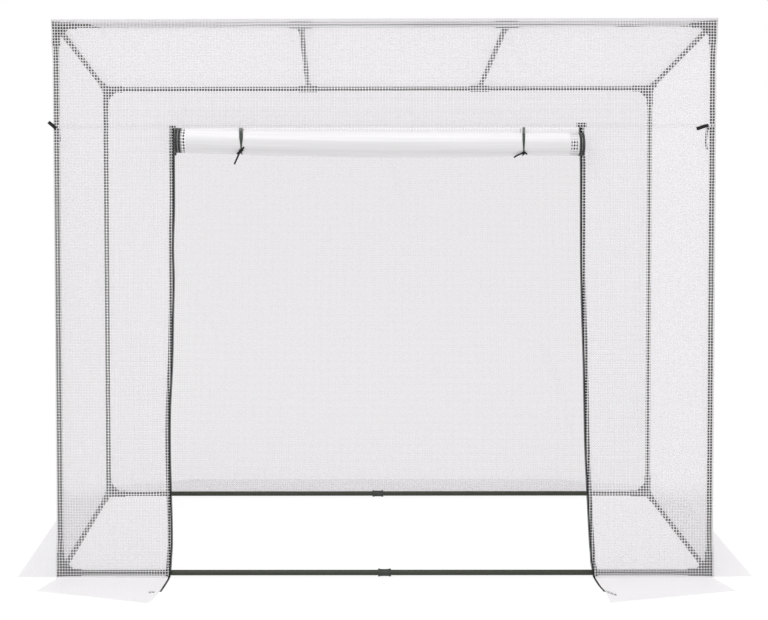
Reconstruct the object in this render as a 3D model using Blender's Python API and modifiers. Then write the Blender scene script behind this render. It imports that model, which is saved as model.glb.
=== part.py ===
"""A mini greenhouse with a lean-to roof. Steel tubes are pushed together in plastic sockets, a sewn
film cover hangs over them, and its door is rolled up between two open zips. Skirts lie on the ground.

The origin is on the ground under the middle of the frame, the door faces -Y and +Z is up. Metres."""

import math

import bmesh
import bpy
from mathutils import Matrix, Vector

# Overall sizes, over the cover and without the skirts
WIDTH = 1.98
DEPTH = 0.77
FRONT_HEIGHT = 1.68
REAR_HEIGHT = 1.49

# Running gap between pieces that touch
GAP = 0.0003

# Frame tubes and the plastic pieces that join them
TUBE_DIAMETER = 0.016
TUBE_WALL = 0.0008
SOCKET_WALL = 0.0022
BLOCK_MARGIN = 0.001
BLOCK_BEVEL = 0.003
CORNER_ARM = 0.060
CORNER_DEPTH = 0.035
TEE_ARM = 0.034
TEE_DEPTH = 0.022
BRANCH_ARM = 0.045
BRANCH_DEPTH = 0.028
COUPLER_LENGTH = 0.039
COUPLER_WEB = 0.003
LEFT_RAFTER_X = -0.248
RIGHT_RAFTER_X = 0.365
ROUND_SIDES = 16

# Cover
FILM = 0.0005
HEM_HEIGHT = 0.0006
SEAM_HEIGHT = 1.356

# Zips: the exposed tape's middle at the seam and at the hem
LEFT_ZIP_TOP_X = -0.628
LEFT_ZIP_FOOT_X = -0.645
RIGHT_ZIP_TOP_X = 0.583
RIGHT_ZIP_FOOT_X = 0.624
ZIP_TAPE = 0.0008
ZIP_SHOWN = 0.009
ZIP_HIDDEN = 0.007
COIL_WIDTH = 0.0024
COIL_DEPTH = 0.0022
SLIDER_HEIGHT = 0.013
SLIDER_PLATE = 0.0009
SLIDER_LIP = 0.0008
SLIDER_BRIDGE = 0.0022
SLIDER_DROP = 0.056
LUG_WIDTH = 0.0026
LUG_REACH = 0.0042
LUG_HEIGHT = 0.005
PULL_PIN_DIAMETER = 0.0016
PULL_THICKNESS = 0.0012
PULL_EAR = 0.0014
PULL_LENGTH = 0.026

# Rolled door and the tapes that hold it up
ROLL_DIAMETER = 0.078
ROLL_PITCH = 0.0026
ROLL_SAG = 0.004
ROLL_PINCH = 0.0015
ROLL_TOP_DROP = 0.005
ROLL_STEPS = 16
DOOR_LENGTH = 1.30
LEFT_DOOR_INSET = 0.0065
RIGHT_DOOR_INSET = 0.001
TAPE_WIDTH = 0.010
TAPE = 0.0008
LEFT_TIE_X = -0.421
RIGHT_TIE_X = 0.404
LEFT_TAIL_LENGTH = 0.052
RIGHT_TAIL_LENGTH = 0.036
TAIL_LEAN = 25
KNOT_ANGLE = 155
KNOT_WIDTH = 0.015
KNOT_DEPTH = 0.008
KNOT_HEIGHT = 0.011

# Tapes that tie the cover to the uprights, in front at the seam and behind at a drop below the rail
REAR_TIE_DROP = 0.1226
FRAME_TAIL_LENGTH = 0.11
TAB_LENGTH = 0.030
LEFT_TAB_ANGLE = 148
RIGHT_TAB_ANGLE = 200

# Skirts
FRONT_REACH = 0.190
CORNER_REACH = 0.105
SIDE_REACH = 0.120
CORNER_FLARE = 0.040
SKIRT_END = 0.006
SKIRT_TAPER = 0.28
ZIP_CLEAR = 0.012

TUBE_RADIUS = TUBE_DIAMETER / 2
BORE_RADIUS = TUBE_RADIUS + GAP
SOCKET_RADIUS = BORE_RADIUS + SOCKET_WALL
BLOCK_HALF = SOCKET_RADIUS + BLOCK_MARGIN
OVERLAP = 0.001

# Places of the tube centres
SKIN = FILM + GAP
ROOF_SLOPE = math.atan2(FRONT_HEIGHT - REAR_HEIGHT, DEPTH)
FRAME_X = WIDTH / 2 - SKIN - BLOCK_HALF
FRAME_Y = DEPTH / 2 - SKIN - BLOCK_HALF
LOW_Z = BLOCK_HALF


def roof_height(y):
    """Height of the roof's outer face."""
    return FRONT_HEIGHT - (y + DEPTH / 2) * math.tan(ROOF_SLOPE)


def rail_height(y):
    """Height of a tube's centre under the roof at y, so that a corner's upper edge clears the roof."""
    edge_reach = BLOCK_HALF * math.cos(ROOF_SLOPE) + (BLOCK_HALF - BLOCK_BEVEL) * math.sin(ROOF_SLOPE)
    return roof_height(y) - (SKIN + edge_reach) / math.cos(ROOF_SLOPE)


for leftover in list(bpy.data.objects):
    bpy.data.objects.remove(leftover)

parts = bpy.data.collections.new("mini_greenhouse")
cutters = bpy.data.collections.new("cutters")
for collection in (parts, cutters):
    bpy.context.scene.collection.children.link(collection)

# Finishes: base colour, roughness, metallic
STEEL = ((0.075, 0.082, 0.062), 0.45, 0.3)
PLASTIC = ((0.045, 0.050, 0.038), 0.5, 0.0)
COVER = ((0.86, 0.85, 0.86), 0.35, 0.0)
WEBBING = ((0.030, 0.045, 0.028), 0.8, 0.0)
ZIP = ((0.012, 0.012, 0.012), 0.6, 0.0)
ZINC = ((0.35, 0.35, 0.34), 0.35, 0.9)


def place(obj, name, finish=None):
    """Names an object and files it under the parts with its finish, or without one as a cutter."""
    obj.name = obj.data.name = name
    for collection in obj.users_collection:
        collection.objects.unlink(obj)
    if finish is None:
        cutters.objects.link(obj)
        obj.hide_render = True
        obj.display_type = "WIRE"
        return obj
    parts.objects.link(obj)
    colour, roughness, metallic = finish
    material = bpy.data.materials.new(name)
    material.use_nodes = True
    shader = material.node_tree.nodes["Principled BSDF"]
    shader.inputs["Base Color"].default_value = (*colour, 1)
    shader.inputs["Roughness"].default_value = roughness
    shader.inputs["Metallic"].default_value = metallic
    obj.data.materials.append(material)
    return obj


def smooth(obj):
    obj.data.shade_smooth()
    obj.data.set_sharp_from_angle(angle=math.radians(35))


def rod(name, start, end, radius, finish=None, caps=True):
    """A round bar between two points, or its bare side wall."""
    run = Vector(end) - Vector(start)
    bpy.ops.mesh.primitive_cylinder_add(
        vertices=ROUND_SIDES,
        radius=radius,
        depth=run.length,
        end_fill_type="NGON" if caps else "NOTHING",
        location=(Vector(start) + Vector(end)) / 2,
        rotation=run.to_track_quat("Z", "Y").to_euler(),
    )
    obj = place(bpy.context.object, name, finish)
    smooth(obj)
    return obj


def box(name, size, matrix, finish=None):
    """A block of a size, centred on a matrix."""
    bpy.ops.mesh.primitive_cube_add(size=1)
    obj = place(bpy.context.object, name, finish)
    obj.data.transform(Matrix.Diagonal((*size, 1)))
    obj.matrix_world = matrix
    return obj


def sheet(name, outline, thickness, matrix, finish):
    """A flat outline in a matrix's XY plane, given a thickness about it."""
    curve = bpy.data.curves.new(name, "CURVE")
    curve.dimensions = "2D"
    curve.fill_mode = "BOTH"
    curve.extrude = thickness / 2
    spline = curve.splines.new("POLY")
    spline.points.add(len(outline) - 1)
    for point, (u, v) in zip(spline.points, outline):
        point.co = (u, v, 0, 1)
    spline.use_cyclic_u = True
    obj = bpy.data.objects.new(name, curve)
    parts.objects.link(obj)
    place(obj, name, finish)
    obj.matrix_world = matrix
    return obj


def axes(origin, right, up):
    """A matrix with its X along right and its Y along up, squared to it."""
    right = Vector(right).normalized()
    out = right.cross(Vector(up)).normalized()
    turned = Matrix((right, out.cross(right), out)).transposed().to_4x4()
    return Matrix.Translation(origin) @ turned


def combine(obj, other, operation):
    boolean = obj.modifiers.new(other.name, "BOOLEAN")
    boolean.operation = operation
    boolean.object = other


def thicken(obj, thickness, offset):
    wall = obj.modifiers.new("wall", "SOLIDIFY")
    wall.thickness = thickness
    wall.offset = offset


def pivot(name, origin, *carried):
    """An empty on a joint's axis that carries the pieces which turn or slide on it."""
    empty = bpy.data.objects.new(name, None)
    parts.objects.link(empty)
    empty.matrix_world = Matrix.Translation(origin)
    for obj in carried:
        obj.parent = empty
        obj.matrix_parent_inverse = empty.matrix_world.inverted()


# Steel tubes

def tube(name, start, end, start_inset, end_inset):
    """A hollow tube between two joint centres, stopping short of each by its inset."""
    along = (Vector(end) - Vector(start)).normalized()
    first = Vector(start) + along * start_inset
    last = Vector(end) - along * end_inset
    obj = rod(name, first, last, TUBE_RADIUS, STEEL, caps=False)
    thicken(obj, TUBE_WALL, -1)


CORNER_INSET = CORNER_ARM - CORNER_DEPTH + GAP
TEE_INSET = TEE_ARM - TEE_DEPTH + GAP
BRANCH_INSET = BRANCH_ARM - BRANCH_DEPTH + GAP
COUPLER_INSET = COUPLER_WEB / 2 + GAP

rows = {"front": -FRAME_Y, "rear": FRAME_Y}
sides = {"left": -FRAME_X, "right": FRAME_X}
rafters = {"left": LEFT_RAFTER_X, "right": RIGHT_RAFTER_X}


def low_corner(row, side):
    return Vector((sides[side], rows[row], LOW_Z))


def top_point(row, x):
    return Vector((x, rows[row], rail_height(rows[row])))


for row in rows:
    coupler = Vector((0, rows[row], LOW_Z))
    for side in sides:
        low = low_corner(row, side)
        top = top_point(row, sides[side])
        tee = top_point(row, rafters[side])
        tube(f"{row}_{side}_upright", low, top, CORNER_INSET, CORNER_INSET)
        tube(f"{row}_bottom_rail_{side}", low, coupler, CORNER_INSET, COUPLER_INSET)
        tube(f"{row}_top_rail_{side}", top, tee, CORNER_INSET, TEE_INSET)
    left_tee = top_point(row, LEFT_RAFTER_X)
    right_tee = top_point(row, RIGHT_RAFTER_X)
    tube(f"{row}_top_rail_middle", left_tee, right_tee, TEE_INSET, TEE_INSET)

for side, x in sides.items():
    front_low = low_corner("front", side)
    rear_low = low_corner("rear", side)
    tube(f"{side}_side_bottom_rail", front_low, rear_low, CORNER_INSET, CORNER_INSET)
    tube(f"{side}_side_top_rail", top_point("front", x), top_point("rear", x), CORNER_INSET, CORNER_INSET)
    front_tee = top_point("front", rafters[side])
    rear_tee = top_point("rear", rafters[side])
    tube(f"{side}_rafter", front_tee, rear_tee, BRANCH_INSET, BRANCH_INSET)


# Plastic corners, tees and couplers

def bore(obj, centre, along, start, end):
    """Cuts a blind tube socket out of an arm, from start to past the mouth at end."""
    cutter = rod(f"{obj.name}_bore", centre + along * start, centre + along * (end + OVERLAP), BORE_RADIUS)
    combine(obj, cutter, "DIFFERENCE")


def corner(name, centre, neighbours):
    """A block with a socket towards each of three neighbouring joints."""
    obj = box(name, (2 * BLOCK_HALF,) * 3, Matrix.Translation(centre), PLASTIC)
    edge = obj.modifiers.new("edge", "BEVEL")
    edge.width = BLOCK_BEVEL
    edge.segments = 2
    directions = [(other - centre).normalized() for other in neighbours]
    for along in directions:
        inner = centre + along * (BLOCK_HALF - OVERLAP)
        arm = rod(f"{name}_arm", inner, centre + along * CORNER_ARM, SOCKET_RADIUS)
        combine(obj, arm, "UNION")
    for along in directions:
        bore(obj, centre, along, CORNER_ARM - CORNER_DEPTH, CORNER_ARM)


def sleeve(name, centre, half, radius, depth):
    """A plastic sleeve along X with a blind socket in each end."""
    across = Vector((1, 0, 0))
    obj = rod(name, centre - across * half, centre + across * half, radius, PLASTIC)
    for along in (across, -across):
        bore(obj, centre, along, half - depth, half)
    return obj


for row, other_row in (("front", "rear"), ("rear", "front")):
    for side, x in sides.items():
        low = low_corner(row, side)
        top = top_point(row, x)
        across = "right" if side == "left" else "left"
        low_neighbours = (low_corner(row, across), low_corner(other_row, side), top)
        top_neighbours = (top_point(row, rafters[side]), top_point(other_row, x), low)
        corner(f"{row}_{side}_bottom_corner", low, low_neighbours)
        corner(f"{row}_{side}_top_corner", top, top_neighbours)

        centre = top_point(row, rafters[side])
        along = (top_point(other_row, rafters[side]) - centre).normalized()
        tee = sleeve(f"{row}_{side}_tee", centre, TEE_ARM, BLOCK_HALF, TEE_DEPTH)
        root = centre + along * TUBE_RADIUS
        branch = rod(f"{tee.name}_branch", root, centre + along * BRANCH_ARM, SOCKET_RADIUS)
        combine(tee, branch, "UNION")
        bore(tee, centre, along, BRANCH_ARM - BRANCH_DEPTH, BRANCH_ARM)

    middle = Vector((0, rows[row], LOW_Z))
    coupler_depth = (COUPLER_LENGTH - COUPLER_WEB) / 2
    sleeve(f"{row}_bottom_coupler", middle, COUPLER_LENGTH / 2, SOCKET_RADIUS, coupler_depth)


# Cover panels

WALL_X = WIDTH / 2 - FILM / 2
WALL_Y = DEPTH / 2 - FILM / 2
UNDER_ROOF = FILM / math.cos(ROOF_SLOPE) + GAP


def wall_top(y):
    return roof_height(y) - UNDER_ROOF


def facing(y):
    """The upright plane at y, with X across and Y up."""
    return axes((0, y, 0), (1, 0, 0), (0, 0, 1))


def along_zip(side, height):
    """A point on the middle of a zip's exposed tape, in the front wall's inner face."""
    foot, top = {
        "left": (LEFT_ZIP_FOOT_X, LEFT_ZIP_TOP_X),
        "right": (RIGHT_ZIP_FOOT_X, RIGHT_ZIP_TOP_X),
    }[side]
    x = foot + (top - foot) * height / SEAM_HEIGHT
    return Vector((x, -DEPTH / 2 + SKIN, height))


def rectangle(low_u, high_u, low_v, high_v):
    return [(low_u, low_v), (high_u, low_v), (high_u, high_v), (low_u, high_v)]


half_width = WIDTH / 2
header = rectangle(-half_width, half_width, SEAM_HEIGHT, wall_top(-DEPTH / 2 + FILM))
sheet("front_header_panel", header, FILM, facing(-WALL_Y), COVER)
back = rectangle(-half_width, half_width, HEM_HEIGHT, wall_top(DEPTH / 2))
sheet("back_panel", back, FILM, facing(WALL_Y), COVER)

# A front panel's top edge has a notch in front of the upright, where the frame tie comes out of the seam.
notch_half = TAPE_WIDTH / 2 + 2 * GAP
notch_depth = TAPE + GAP
front_top = SEAM_HEIGHT - GAP
for side, sign in (("left", -1), ("right", 1)):
    shown = sign * ZIP_SHOWN / 2
    outline = [
        (sign * half_width, HEM_HEIGHT),
        (along_zip(side, HEM_HEIGHT).x + shown, HEM_HEIGHT),
        (along_zip(side, front_top).x + shown, front_top),
        (sign * (FRAME_X - notch_half), front_top),
        (sign * (FRAME_X - notch_half), front_top - notch_depth),
        (sign * (FRAME_X + notch_half), front_top - notch_depth),
        (sign * (FRAME_X + notch_half), front_top),
        (sign * half_width, front_top),
    ]
    sheet(f"front_{side}_panel", outline, FILM, facing(-WALL_Y), COVER)

side_end = DEPTH / 2 - SKIN
side_wall = [
    (-side_end, HEM_HEIGHT),
    (side_end, HEM_HEIGHT),
    (side_end, wall_top(side_end)),
    (-side_end, wall_top(-side_end)),
]
for side, sign in (("left", -1), ("right", 1)):
    plane = axes((sign * WALL_X, 0, 0), (0, 1, 0), (0, 0, 1))
    sheet(f"{side}_side_panel", side_wall, FILM, plane, COVER)

down_roof = Vector((0, math.cos(ROOF_SLOPE), -math.sin(ROOF_SLOPE)))
roof_normal = Vector((0, math.sin(ROOF_SLOPE), math.cos(ROOF_SLOPE)))
roof_edge = Vector((0, -DEPTH / 2, FRONT_HEIGHT)) - roof_normal * FILM / 2
roof = rectangle(-half_width, half_width, 0, DEPTH / math.cos(ROOF_SLOPE))
sheet("roof_panel", roof, FILM, axes(roof_edge, (1, 0, 0), down_roof), COVER)


# Skirts: each is hinged along the foot of its wall

def skirt(name, foot, out, outline):
    """A flap on the ground. In its outline, X runs along the wall and Y away from it."""
    along = Vector(out).cross((0, 0, 1))
    origin = Vector(foot) + Vector(out) * GAP + Vector((0, 0, FILM / 2))
    flap = sheet(name, outline, FILM, axes(origin, along, out), COVER)
    hinge = Vector(foot) + Vector(out) * 2 * GAP + Vector((0, 0, FILM))
    pivot(f"{name}_hinge", hinge, flap)


front_end = half_width - SKIRT_END
for side, sign in (("left", -1), ("right", 1)):
    inner = abs(along_zip(side, 0).x) + ZIP_CLEAR
    tip = inner + ZIP_CLEAR
    outline = [
        (-sign * front_end, 0),
        (-sign * (front_end + CORNER_FLARE), CORNER_REACH),
        (-sign * tip, FRONT_REACH),
        (-sign * inner, FRONT_REACH - CORNER_FLARE),
        (-sign * inner, 0),
    ]
    skirt(f"front_{side}_skirt", (0, -DEPTH / 2, 0), (0, -1, 0), outline)

back_outline = [
    (front_end, 0),
    (front_end + CORNER_FLARE, CORNER_REACH),
    (front_end - SKIRT_TAPER, FRONT_REACH),
    (-front_end + SKIRT_TAPER, FRONT_REACH),
    (-front_end - CORNER_FLARE, CORNER_REACH),
    (-front_end, 0),
]
skirt("back_skirt", (0, DEPTH / 2, 0), (0, 1, 0), back_outline)

side_run = DEPTH / 2 - SKIRT_END
side_outline = rectangle(-side_run, side_run, 0, SIDE_REACH)
for side, sign in (("left", -1), ("right", 1)):
    skirt(f"{side}_side_skirt", (sign * half_width, 0, 0), (sign, 0, 0), side_outline)


# Zips: the tape sewn to the front panel, with its slider and pull

COIL_MIDDLE = ZIP_TAPE / 2
CHANNEL_HALF = COIL_DEPTH / 2 + GAP
COIL_EDGE = ZIP_SHOWN / 2
COIL_START = COIL_EDGE - COIL_WIDTH


INWARDS = Vector((0, 1, 0))
TOWARDS_DOOR = {"left": 1, "right": -1}


def across_zip(side):
    """The level direction, nearly +X, that is square to a zip."""
    run = along_zip(side, SEAM_HEIGHT) - along_zip(side, 0)
    return INWARDS.cross(run).normalized()


def zip_axes(side, height):
    """X towards the middle of the door and Y into the greenhouse."""
    return axes(along_zip(side, height), across_zip(side) * TOWARDS_DOOR[side], INWARDS)


def zip_tape(side):
    tape = [
        (-COIL_EDGE - ZIP_HIDDEN, 0),
        (COIL_START, 0),
        (COIL_START, COIL_MIDDLE - COIL_DEPTH / 2),
        (COIL_EDGE, COIL_MIDDLE - COIL_DEPTH / 2),
        (COIL_EDGE, COIL_MIDDLE + COIL_DEPTH / 2),
        (COIL_START, COIL_MIDDLE + COIL_DEPTH / 2),
        (COIL_START, ZIP_TAPE),
        (-COIL_EDGE - ZIP_HIDDEN, ZIP_TAPE),
    ]
    length = SEAM_HEIGHT - HEM_HEIGHT - 4 * GAP
    sheet(f"{side}_zip_tape", tape, length, zip_axes(side, (SEAM_HEIGHT + HEM_HEIGHT) / 2), ZIP)


def slider_section():
    """Two plates and the bridge between them: a channel for a coil on each side, with lips at its mouth."""
    bridge = SLIDER_BRIDGE / 2
    lip = bridge + COIL_WIDTH + 2 * GAP
    edge = lip + SLIDER_LIP
    slot = ZIP_TAPE / 2 + GAP
    face = CHANNEL_HALF + SLIDER_PLATE
    quarter = [(edge, face), (edge, slot), (lip, slot), (lip, CHANNEL_HALF), (bridge, CHANNEL_HALF)]
    below = [(u, -v) for u, v in quarter[::-1]]
    right_half = quarter + below
    left_half = [(-u, v) for u, v in right_half[::-1]]
    return right_half + left_half


def meshed(obj):
    """The same piece as a mesh with its caps welded, for a Boolean to work on."""
    finish = obj.data.materials[0]
    name = obj.name
    evaluated = obj.evaluated_get(bpy.context.evaluated_depsgraph_get())
    mesh = bpy.data.meshes.new_from_object(evaluated)
    cage = bmesh.new()
    cage.from_mesh(mesh)
    bmesh.ops.remove_doubles(cage, verts=cage.verts, dist=1e-5)
    cage.to_mesh(mesh)
    cage.free()
    solid = bpy.data.objects.new(name, mesh)
    parts.objects.link(solid)
    solid.matrix_world = obj.matrix_world
    bpy.data.objects.remove(obj)
    solid.name = mesh.name = name
    mesh.materials.clear()
    mesh.materials.append(finish)
    return solid


PIN_REACH = LUG_REACH / 2


def zip_slider(side, centre):
    """The slider round the tape's coil, with a drilled lug for the pull on its inner plate."""
    obj = meshed(sheet(f"{side}_zip_slider", slider_section(), SLIDER_HEIGHT, centre, ZINC))
    back = CHANNEL_HALF + SLIDER_PLATE
    lug_at = centre @ Matrix.Translation((0, back + (LUG_REACH - OVERLAP / 2) / 2, 0))
    lug = box(f"{side}_lug", (LUG_WIDTH, LUG_REACH + OVERLAP / 2, LUG_HEIGHT), lug_at)
    combine(obj, lug, "UNION")
    middle = centre @ Vector((0, back + PIN_REACH, 0))
    half_hole = centre.to_3x3() @ Vector((LUG_WIDTH, 0, 0))
    hole = rod(f"{side}_lug_hole", middle - half_hole, middle + half_hole, PULL_PIN_DIAMETER / 2 + GAP)
    combine(obj, hole, "DIFFERENCE")
    return centre @ Matrix.Translation((0, back + PIN_REACH, 0))


def zip_pull(side, pin):
    """A flat tab that hangs from a cross pin between its two ears, free to swing in the lug."""
    shoulder = math.hypot(LUG_HEIGHT / 2, LUG_REACH - PIN_REACH) + GAP + PULL_THICKNESS / 2
    ear_middle = LUG_WIDTH / 2 + GAP + PULL_EAR / 2
    width = 2 * ear_middle + PULL_EAR
    length = PULL_LENGTH - shoulder
    obj = box(f"{side}_zip_pull", (width, PULL_THICKNESS, length), pin, ZINC)
    obj.data.transform(Matrix.Translation((0, 0, -shoulder - length / 2)))
    ear_depth = PULL_PIN_DIAMETER + 2 * GAP
    ear_height = shoulder + ear_depth / 2 + OVERLAP
    for sign in (-1, 1):
        ear_at = pin @ Matrix.Translation((sign * ear_middle, 0, (ear_depth - ear_height) / 2))
        ear = box(f"{side}_pull_ear", (PULL_EAR, ear_depth, ear_height), ear_at)
        combine(obj, ear, "UNION")
    middle = pin.translation
    reach = pin.to_3x3() @ Vector((ear_middle, 0, 0))
    cross_pin = rod(f"{side}_pull_pin", middle - reach, middle + reach, PULL_PIN_DIAMETER / 2)
    combine(obj, cross_pin, "UNION")


SLIDER_CENTRE = COIL_EDGE + GAP + SLIDER_BRIDGE / 2
for side in sides:
    zip_tape(side)
    rest = zip_axes(side, SEAM_HEIGHT - SLIDER_DROP) @ Vector((SLIDER_CENTRE, COIL_MIDDLE, 0))
    pin = zip_slider(side, axes(rest, across_zip(side), INWARDS))
    zip_pull(side, pin)


# Rolled door: the sheet hangs from the seam, passes behind the roll and winds up its front

ROLL_RADIUS = ROLL_DIAMETER / 2 - FILM / 2
ROLL_Z = SEAM_HEIGHT - ROLL_TOP_DROP - ROLL_DIAMETER / 2
SLIDER_FACE_Y = -DEPTH / 2 + SKIN + COIL_MIDDLE - CHANNEL_HALF - SLIDER_PLATE
ROLL_BACK_Y = SLIDER_FACE_Y - GAP - FILM / 2
ROLL_Y = ROLL_BACK_Y - ROLL_RADIUS
DOOR_LEFT = along_zip("left", SEAM_HEIGHT).x + COIL_EDGE + LEFT_DOOR_INSET
DOOR_RIGHT = along_zip("right", SEAM_HEIGHT).x - COIL_EDGE - RIGHT_DOOR_INSET


def round_roll(radius, angle):
    """A point round the roll's axis. Angle 0 is its back, and it grows down and round to the front."""
    return Vector((0, ROLL_Y + radius * math.cos(angle), ROLL_Z - radius * math.sin(angle)))


def roll_turns():
    """How often the door's length winds round, at a steady pitch from the roll's radius inwards."""
    girth = math.tau * ROLL_RADIUS
    wound = DOOR_LENGTH - (SEAM_HEIGHT - ROLL_Z)
    return (girth - math.sqrt(girth**2 - 2 * math.tau * ROLL_PITCH * wound)) / (math.tau * ROLL_PITCH)


def door_roll():
    """The wound sheet, from its back inwards, sagging between its ends and drawn in at the ties."""
    turns = roll_turns()
    steps = round(turns * ROLL_STEPS)
    middle = (LEFT_TIE_X + RIGHT_TIE_X) / 2
    stations = [
        (DOOR_LEFT, 0, 0),
        (LEFT_TIE_X, ROLL_PINCH, ROLL_SAG / 2),
        (middle, 0, ROLL_SAG),
        (RIGHT_TIE_X, ROLL_PINCH, ROLL_SAG / 2),
        (DOOR_RIGHT, 0, 0),
    ]
    spans = len(stations) - 1
    bpy.ops.mesh.primitive_grid_add(x_subdivisions=steps, y_subdivisions=spans, size=1)
    obj = place(bpy.context.object, "door_roll", COVER)
    for vertex in obj.data.vertices:
        along = vertex.co.x + 0.5
        x, pinch, sag = stations[round((vertex.co.y + 0.5) * spans)]
        angle = along * turns * math.tau
        point = round_roll(ROLL_RADIUS - pinch - ROLL_PITCH * along * turns, angle)
        vertex.co = point + Vector((x, 0, -sag))
    thicken(obj, FILM, 0)
    smooth(obj)
    pivot("door_drop_line", (middle, ROLL_Y, ROLL_Z), obj)
    print_least_gap([round_roll(ROLL_RADIUS - ROLL_PITCH * i / ROLL_STEPS, math.tau * i / ROLL_STEPS)
                     for i in range(steps + 1)])


def print_least_gap(points):
    """The roll's least gap to its own next turn, on its points."""
    least = min(
        (points[i] - points[j]).length
        for i in range(len(points))
        for j in range(i + ROLL_STEPS // 2, len(points))
    )
    print(f"door_roll: least gap to itself {(least - FILM) * 1000:.2f} mm")


door_roll()

CURTAIN_TOP = Vector((0, -WALL_Y, SEAM_HEIGHT - GAP))
CURTAIN_FOOT = Vector((0, ROLL_BACK_Y, ROLL_Z + GAP))
curtain_rise = CURTAIN_TOP - CURTAIN_FOOT
curtain = rectangle(DOOR_LEFT, DOOR_RIGHT, 0, curtain_rise.length)
sheet("door_curtain", curtain, FILM, axes(CURTAIN_FOOT, (1, 0, 0), curtain_rise), COVER)


# Door ties: each hangs from the seam, goes round the roll and behind the door, and is knotted in front

def door_tie(side, x, tails):
    """tails are the length and the lean of each loose end, in metres and degrees from straight down."""
    near = ROLL_RADIUS - ROLL_PINCH + FILM / 2 + 2 * GAP + TAPE / 2
    behind = ROLL_RADIUS + FILM / 2 + GAP + TAPE / 2
    sagged = Vector((0, 0, -ROLL_SAG / 2))
    quarter_turn = ROLL_STEPS // 4
    path = [Vector((0, -DEPTH / 2 - TAPE, SEAM_HEIGHT - TAPE))]
    for step in range(3 * quarter_turn - 1, -1, -1):
        swell = max(0, 1 - step / quarter_turn)
        path.append(round_roll(near + (behind - near) * swell, math.tau * step / ROLL_STEPS) + sagged)
    path.append(Vector((0, CURTAIN_TOP.y + FILM / 2 + GAP + TAPE / 2, SEAM_HEIGHT - 3 * TAPE)))
    curve = bpy.data.curves.new(f"{side}_door_tie", "CURVE")
    curve.dimensions = "2D"
    curve.extrude = TAPE_WIDTH / 2
    spline = curve.splines.new("POLY")
    spline.points.add(len(path) - 1)
    for point, at in zip(spline.points, path):
        point.co = (at.y, at.z, 0, 1)
    strap = bpy.data.objects.new(curve.name, curve)
    parts.objects.link(strap)
    place(strap, f"{side}_door_tie", WEBBING)
    strap.matrix_world = axes((x, 0, 0), (0, 1, 0), (0, 0, 1))
    strap = meshed(strap)
    thicken(strap, TAPE, 0)

    angle = math.radians(KNOT_ANGLE)
    knot_at = Vector((x, 0, 0)) + round_roll(near + KNOT_DEPTH / 4, angle) + sagged
    turned = Matrix.Translation(knot_at) @ Matrix.Rotation(math.pi - angle, 4, "X")
    bpy.ops.mesh.primitive_uv_sphere_add(segments=12, ring_count=8, radius=0.5)
    knot = place(bpy.context.object, f"{side}_knot")
    knot.data.transform(Matrix.Diagonal((KNOT_WIDTH, KNOT_DEPTH, KNOT_HEIGHT, 1)))
    knot.matrix_world = turned
    combine(strap, knot, "UNION")
    for length, lean in tails:
        swing = Matrix.Rotation(math.radians(lean), 4, "Y")
        front = Matrix.Translation(knot_at + Vector((0, -TAPE, 0)))
        hang = front @ swing @ Matrix.Translation((0, 0, -length / 2))
        tail = box(f"{side}_tail", (TAPE_WIDTH, TAPE, length), hang)
        combine(strap, tail, "UNION")


door_tie("left", LEFT_TIE_X, [(LEFT_TAIL_LENGTH, TAIL_LEAN)])
door_tie("right", RIGHT_TIE_X, [(RIGHT_TAIL_LENGTH, 2 * TAIL_LEAN), (RIGHT_TAIL_LENGTH / 2, -TAIL_LEAN)])


# Frame ties: a loop of tape round each upright, with a tail inside

def frame_tie(row, side, tab_angle=None):
    """The loop is sewn to the cover, and in front its end comes out through the notch as a tab."""
    outer = TUBE_RADIUS + GAP + TAPE
    top = SEAM_HEIGHT if row == "front" else rail_height(rows[row]) - REAR_TIE_DROP
    centre = Vector((sides[side], rows[row], top - TAPE_WIDTH / 2 - TAPE))
    half = Vector((0, 0, TAPE_WIDTH / 2))
    ring = rod(f"{row}_{side}_frame_tie", centre - half, centre + half, outer, WEBBING, caps=False)
    thicken(ring, TAPE, -1)

    outwards = math.copysign(1, rows[row])
    inner_end = rows[row] + outwards * (outer - TAPE / 2)
    outer_end = outwards * (DEPTH / 2 + GAP + TAPE / 2 if tab_angle else DEPTH / 2 - SKIN)
    strap_z = top - GAP / 2 - (notch_depth + GAP / 2) / 2
    strap_at = Matrix.Translation((centre.x, (inner_end + outer_end) / 2, strap_z))
    strap_length = abs(outer_end - inner_end)
    strap = box(f"{ring.name}_strap", (TAPE_WIDTH, strap_length, TAPE - GAP), strap_at)
    combine(ring, strap, "UNION")

    inboard = -math.copysign(1, sides[side])
    tail_x = centre.x + inboard * (outer - TAPE / 2)
    tail_at = Matrix.Translation((tail_x, rows[row], centre.z - FRAME_TAIL_LENGTH / 2))
    tail = box(f"{ring.name}_tail", (TAPE, TAPE_WIDTH / 2, FRAME_TAIL_LENGTH), tail_at)
    combine(ring, tail, "UNION")

    if tab_angle:
        tab_y = -DEPTH / 2 - GAP - TAPE / 2
        turned = Matrix.Rotation(-math.radians(tab_angle), 4, "Y")
        root = Matrix.Translation((centre.x, tab_y, strap_z))
        tab_at = root @ turned @ Matrix.Translation((TAB_LENGTH / 2 - TAPE, 0, 0))
        tab = box(f"{ring.name}_tab", (TAB_LENGTH, TAPE, TAPE_WIDTH), tab_at)
        combine(ring, tab, "UNION")


frame_tie("front", "left", LEFT_TAB_ANGLE)
frame_tie("front", "right", RIGHT_TAB_ANGLE)
frame_tie("rear", "left")
frame_tie("rear", "right")

bpy.context.view_layer.update()
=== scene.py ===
from math import atan2, copysign, cos, exp, hypot, pi, radians, sin, tan, tau

import bpy
from mathutils import Matrix, Vector, noise


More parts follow.
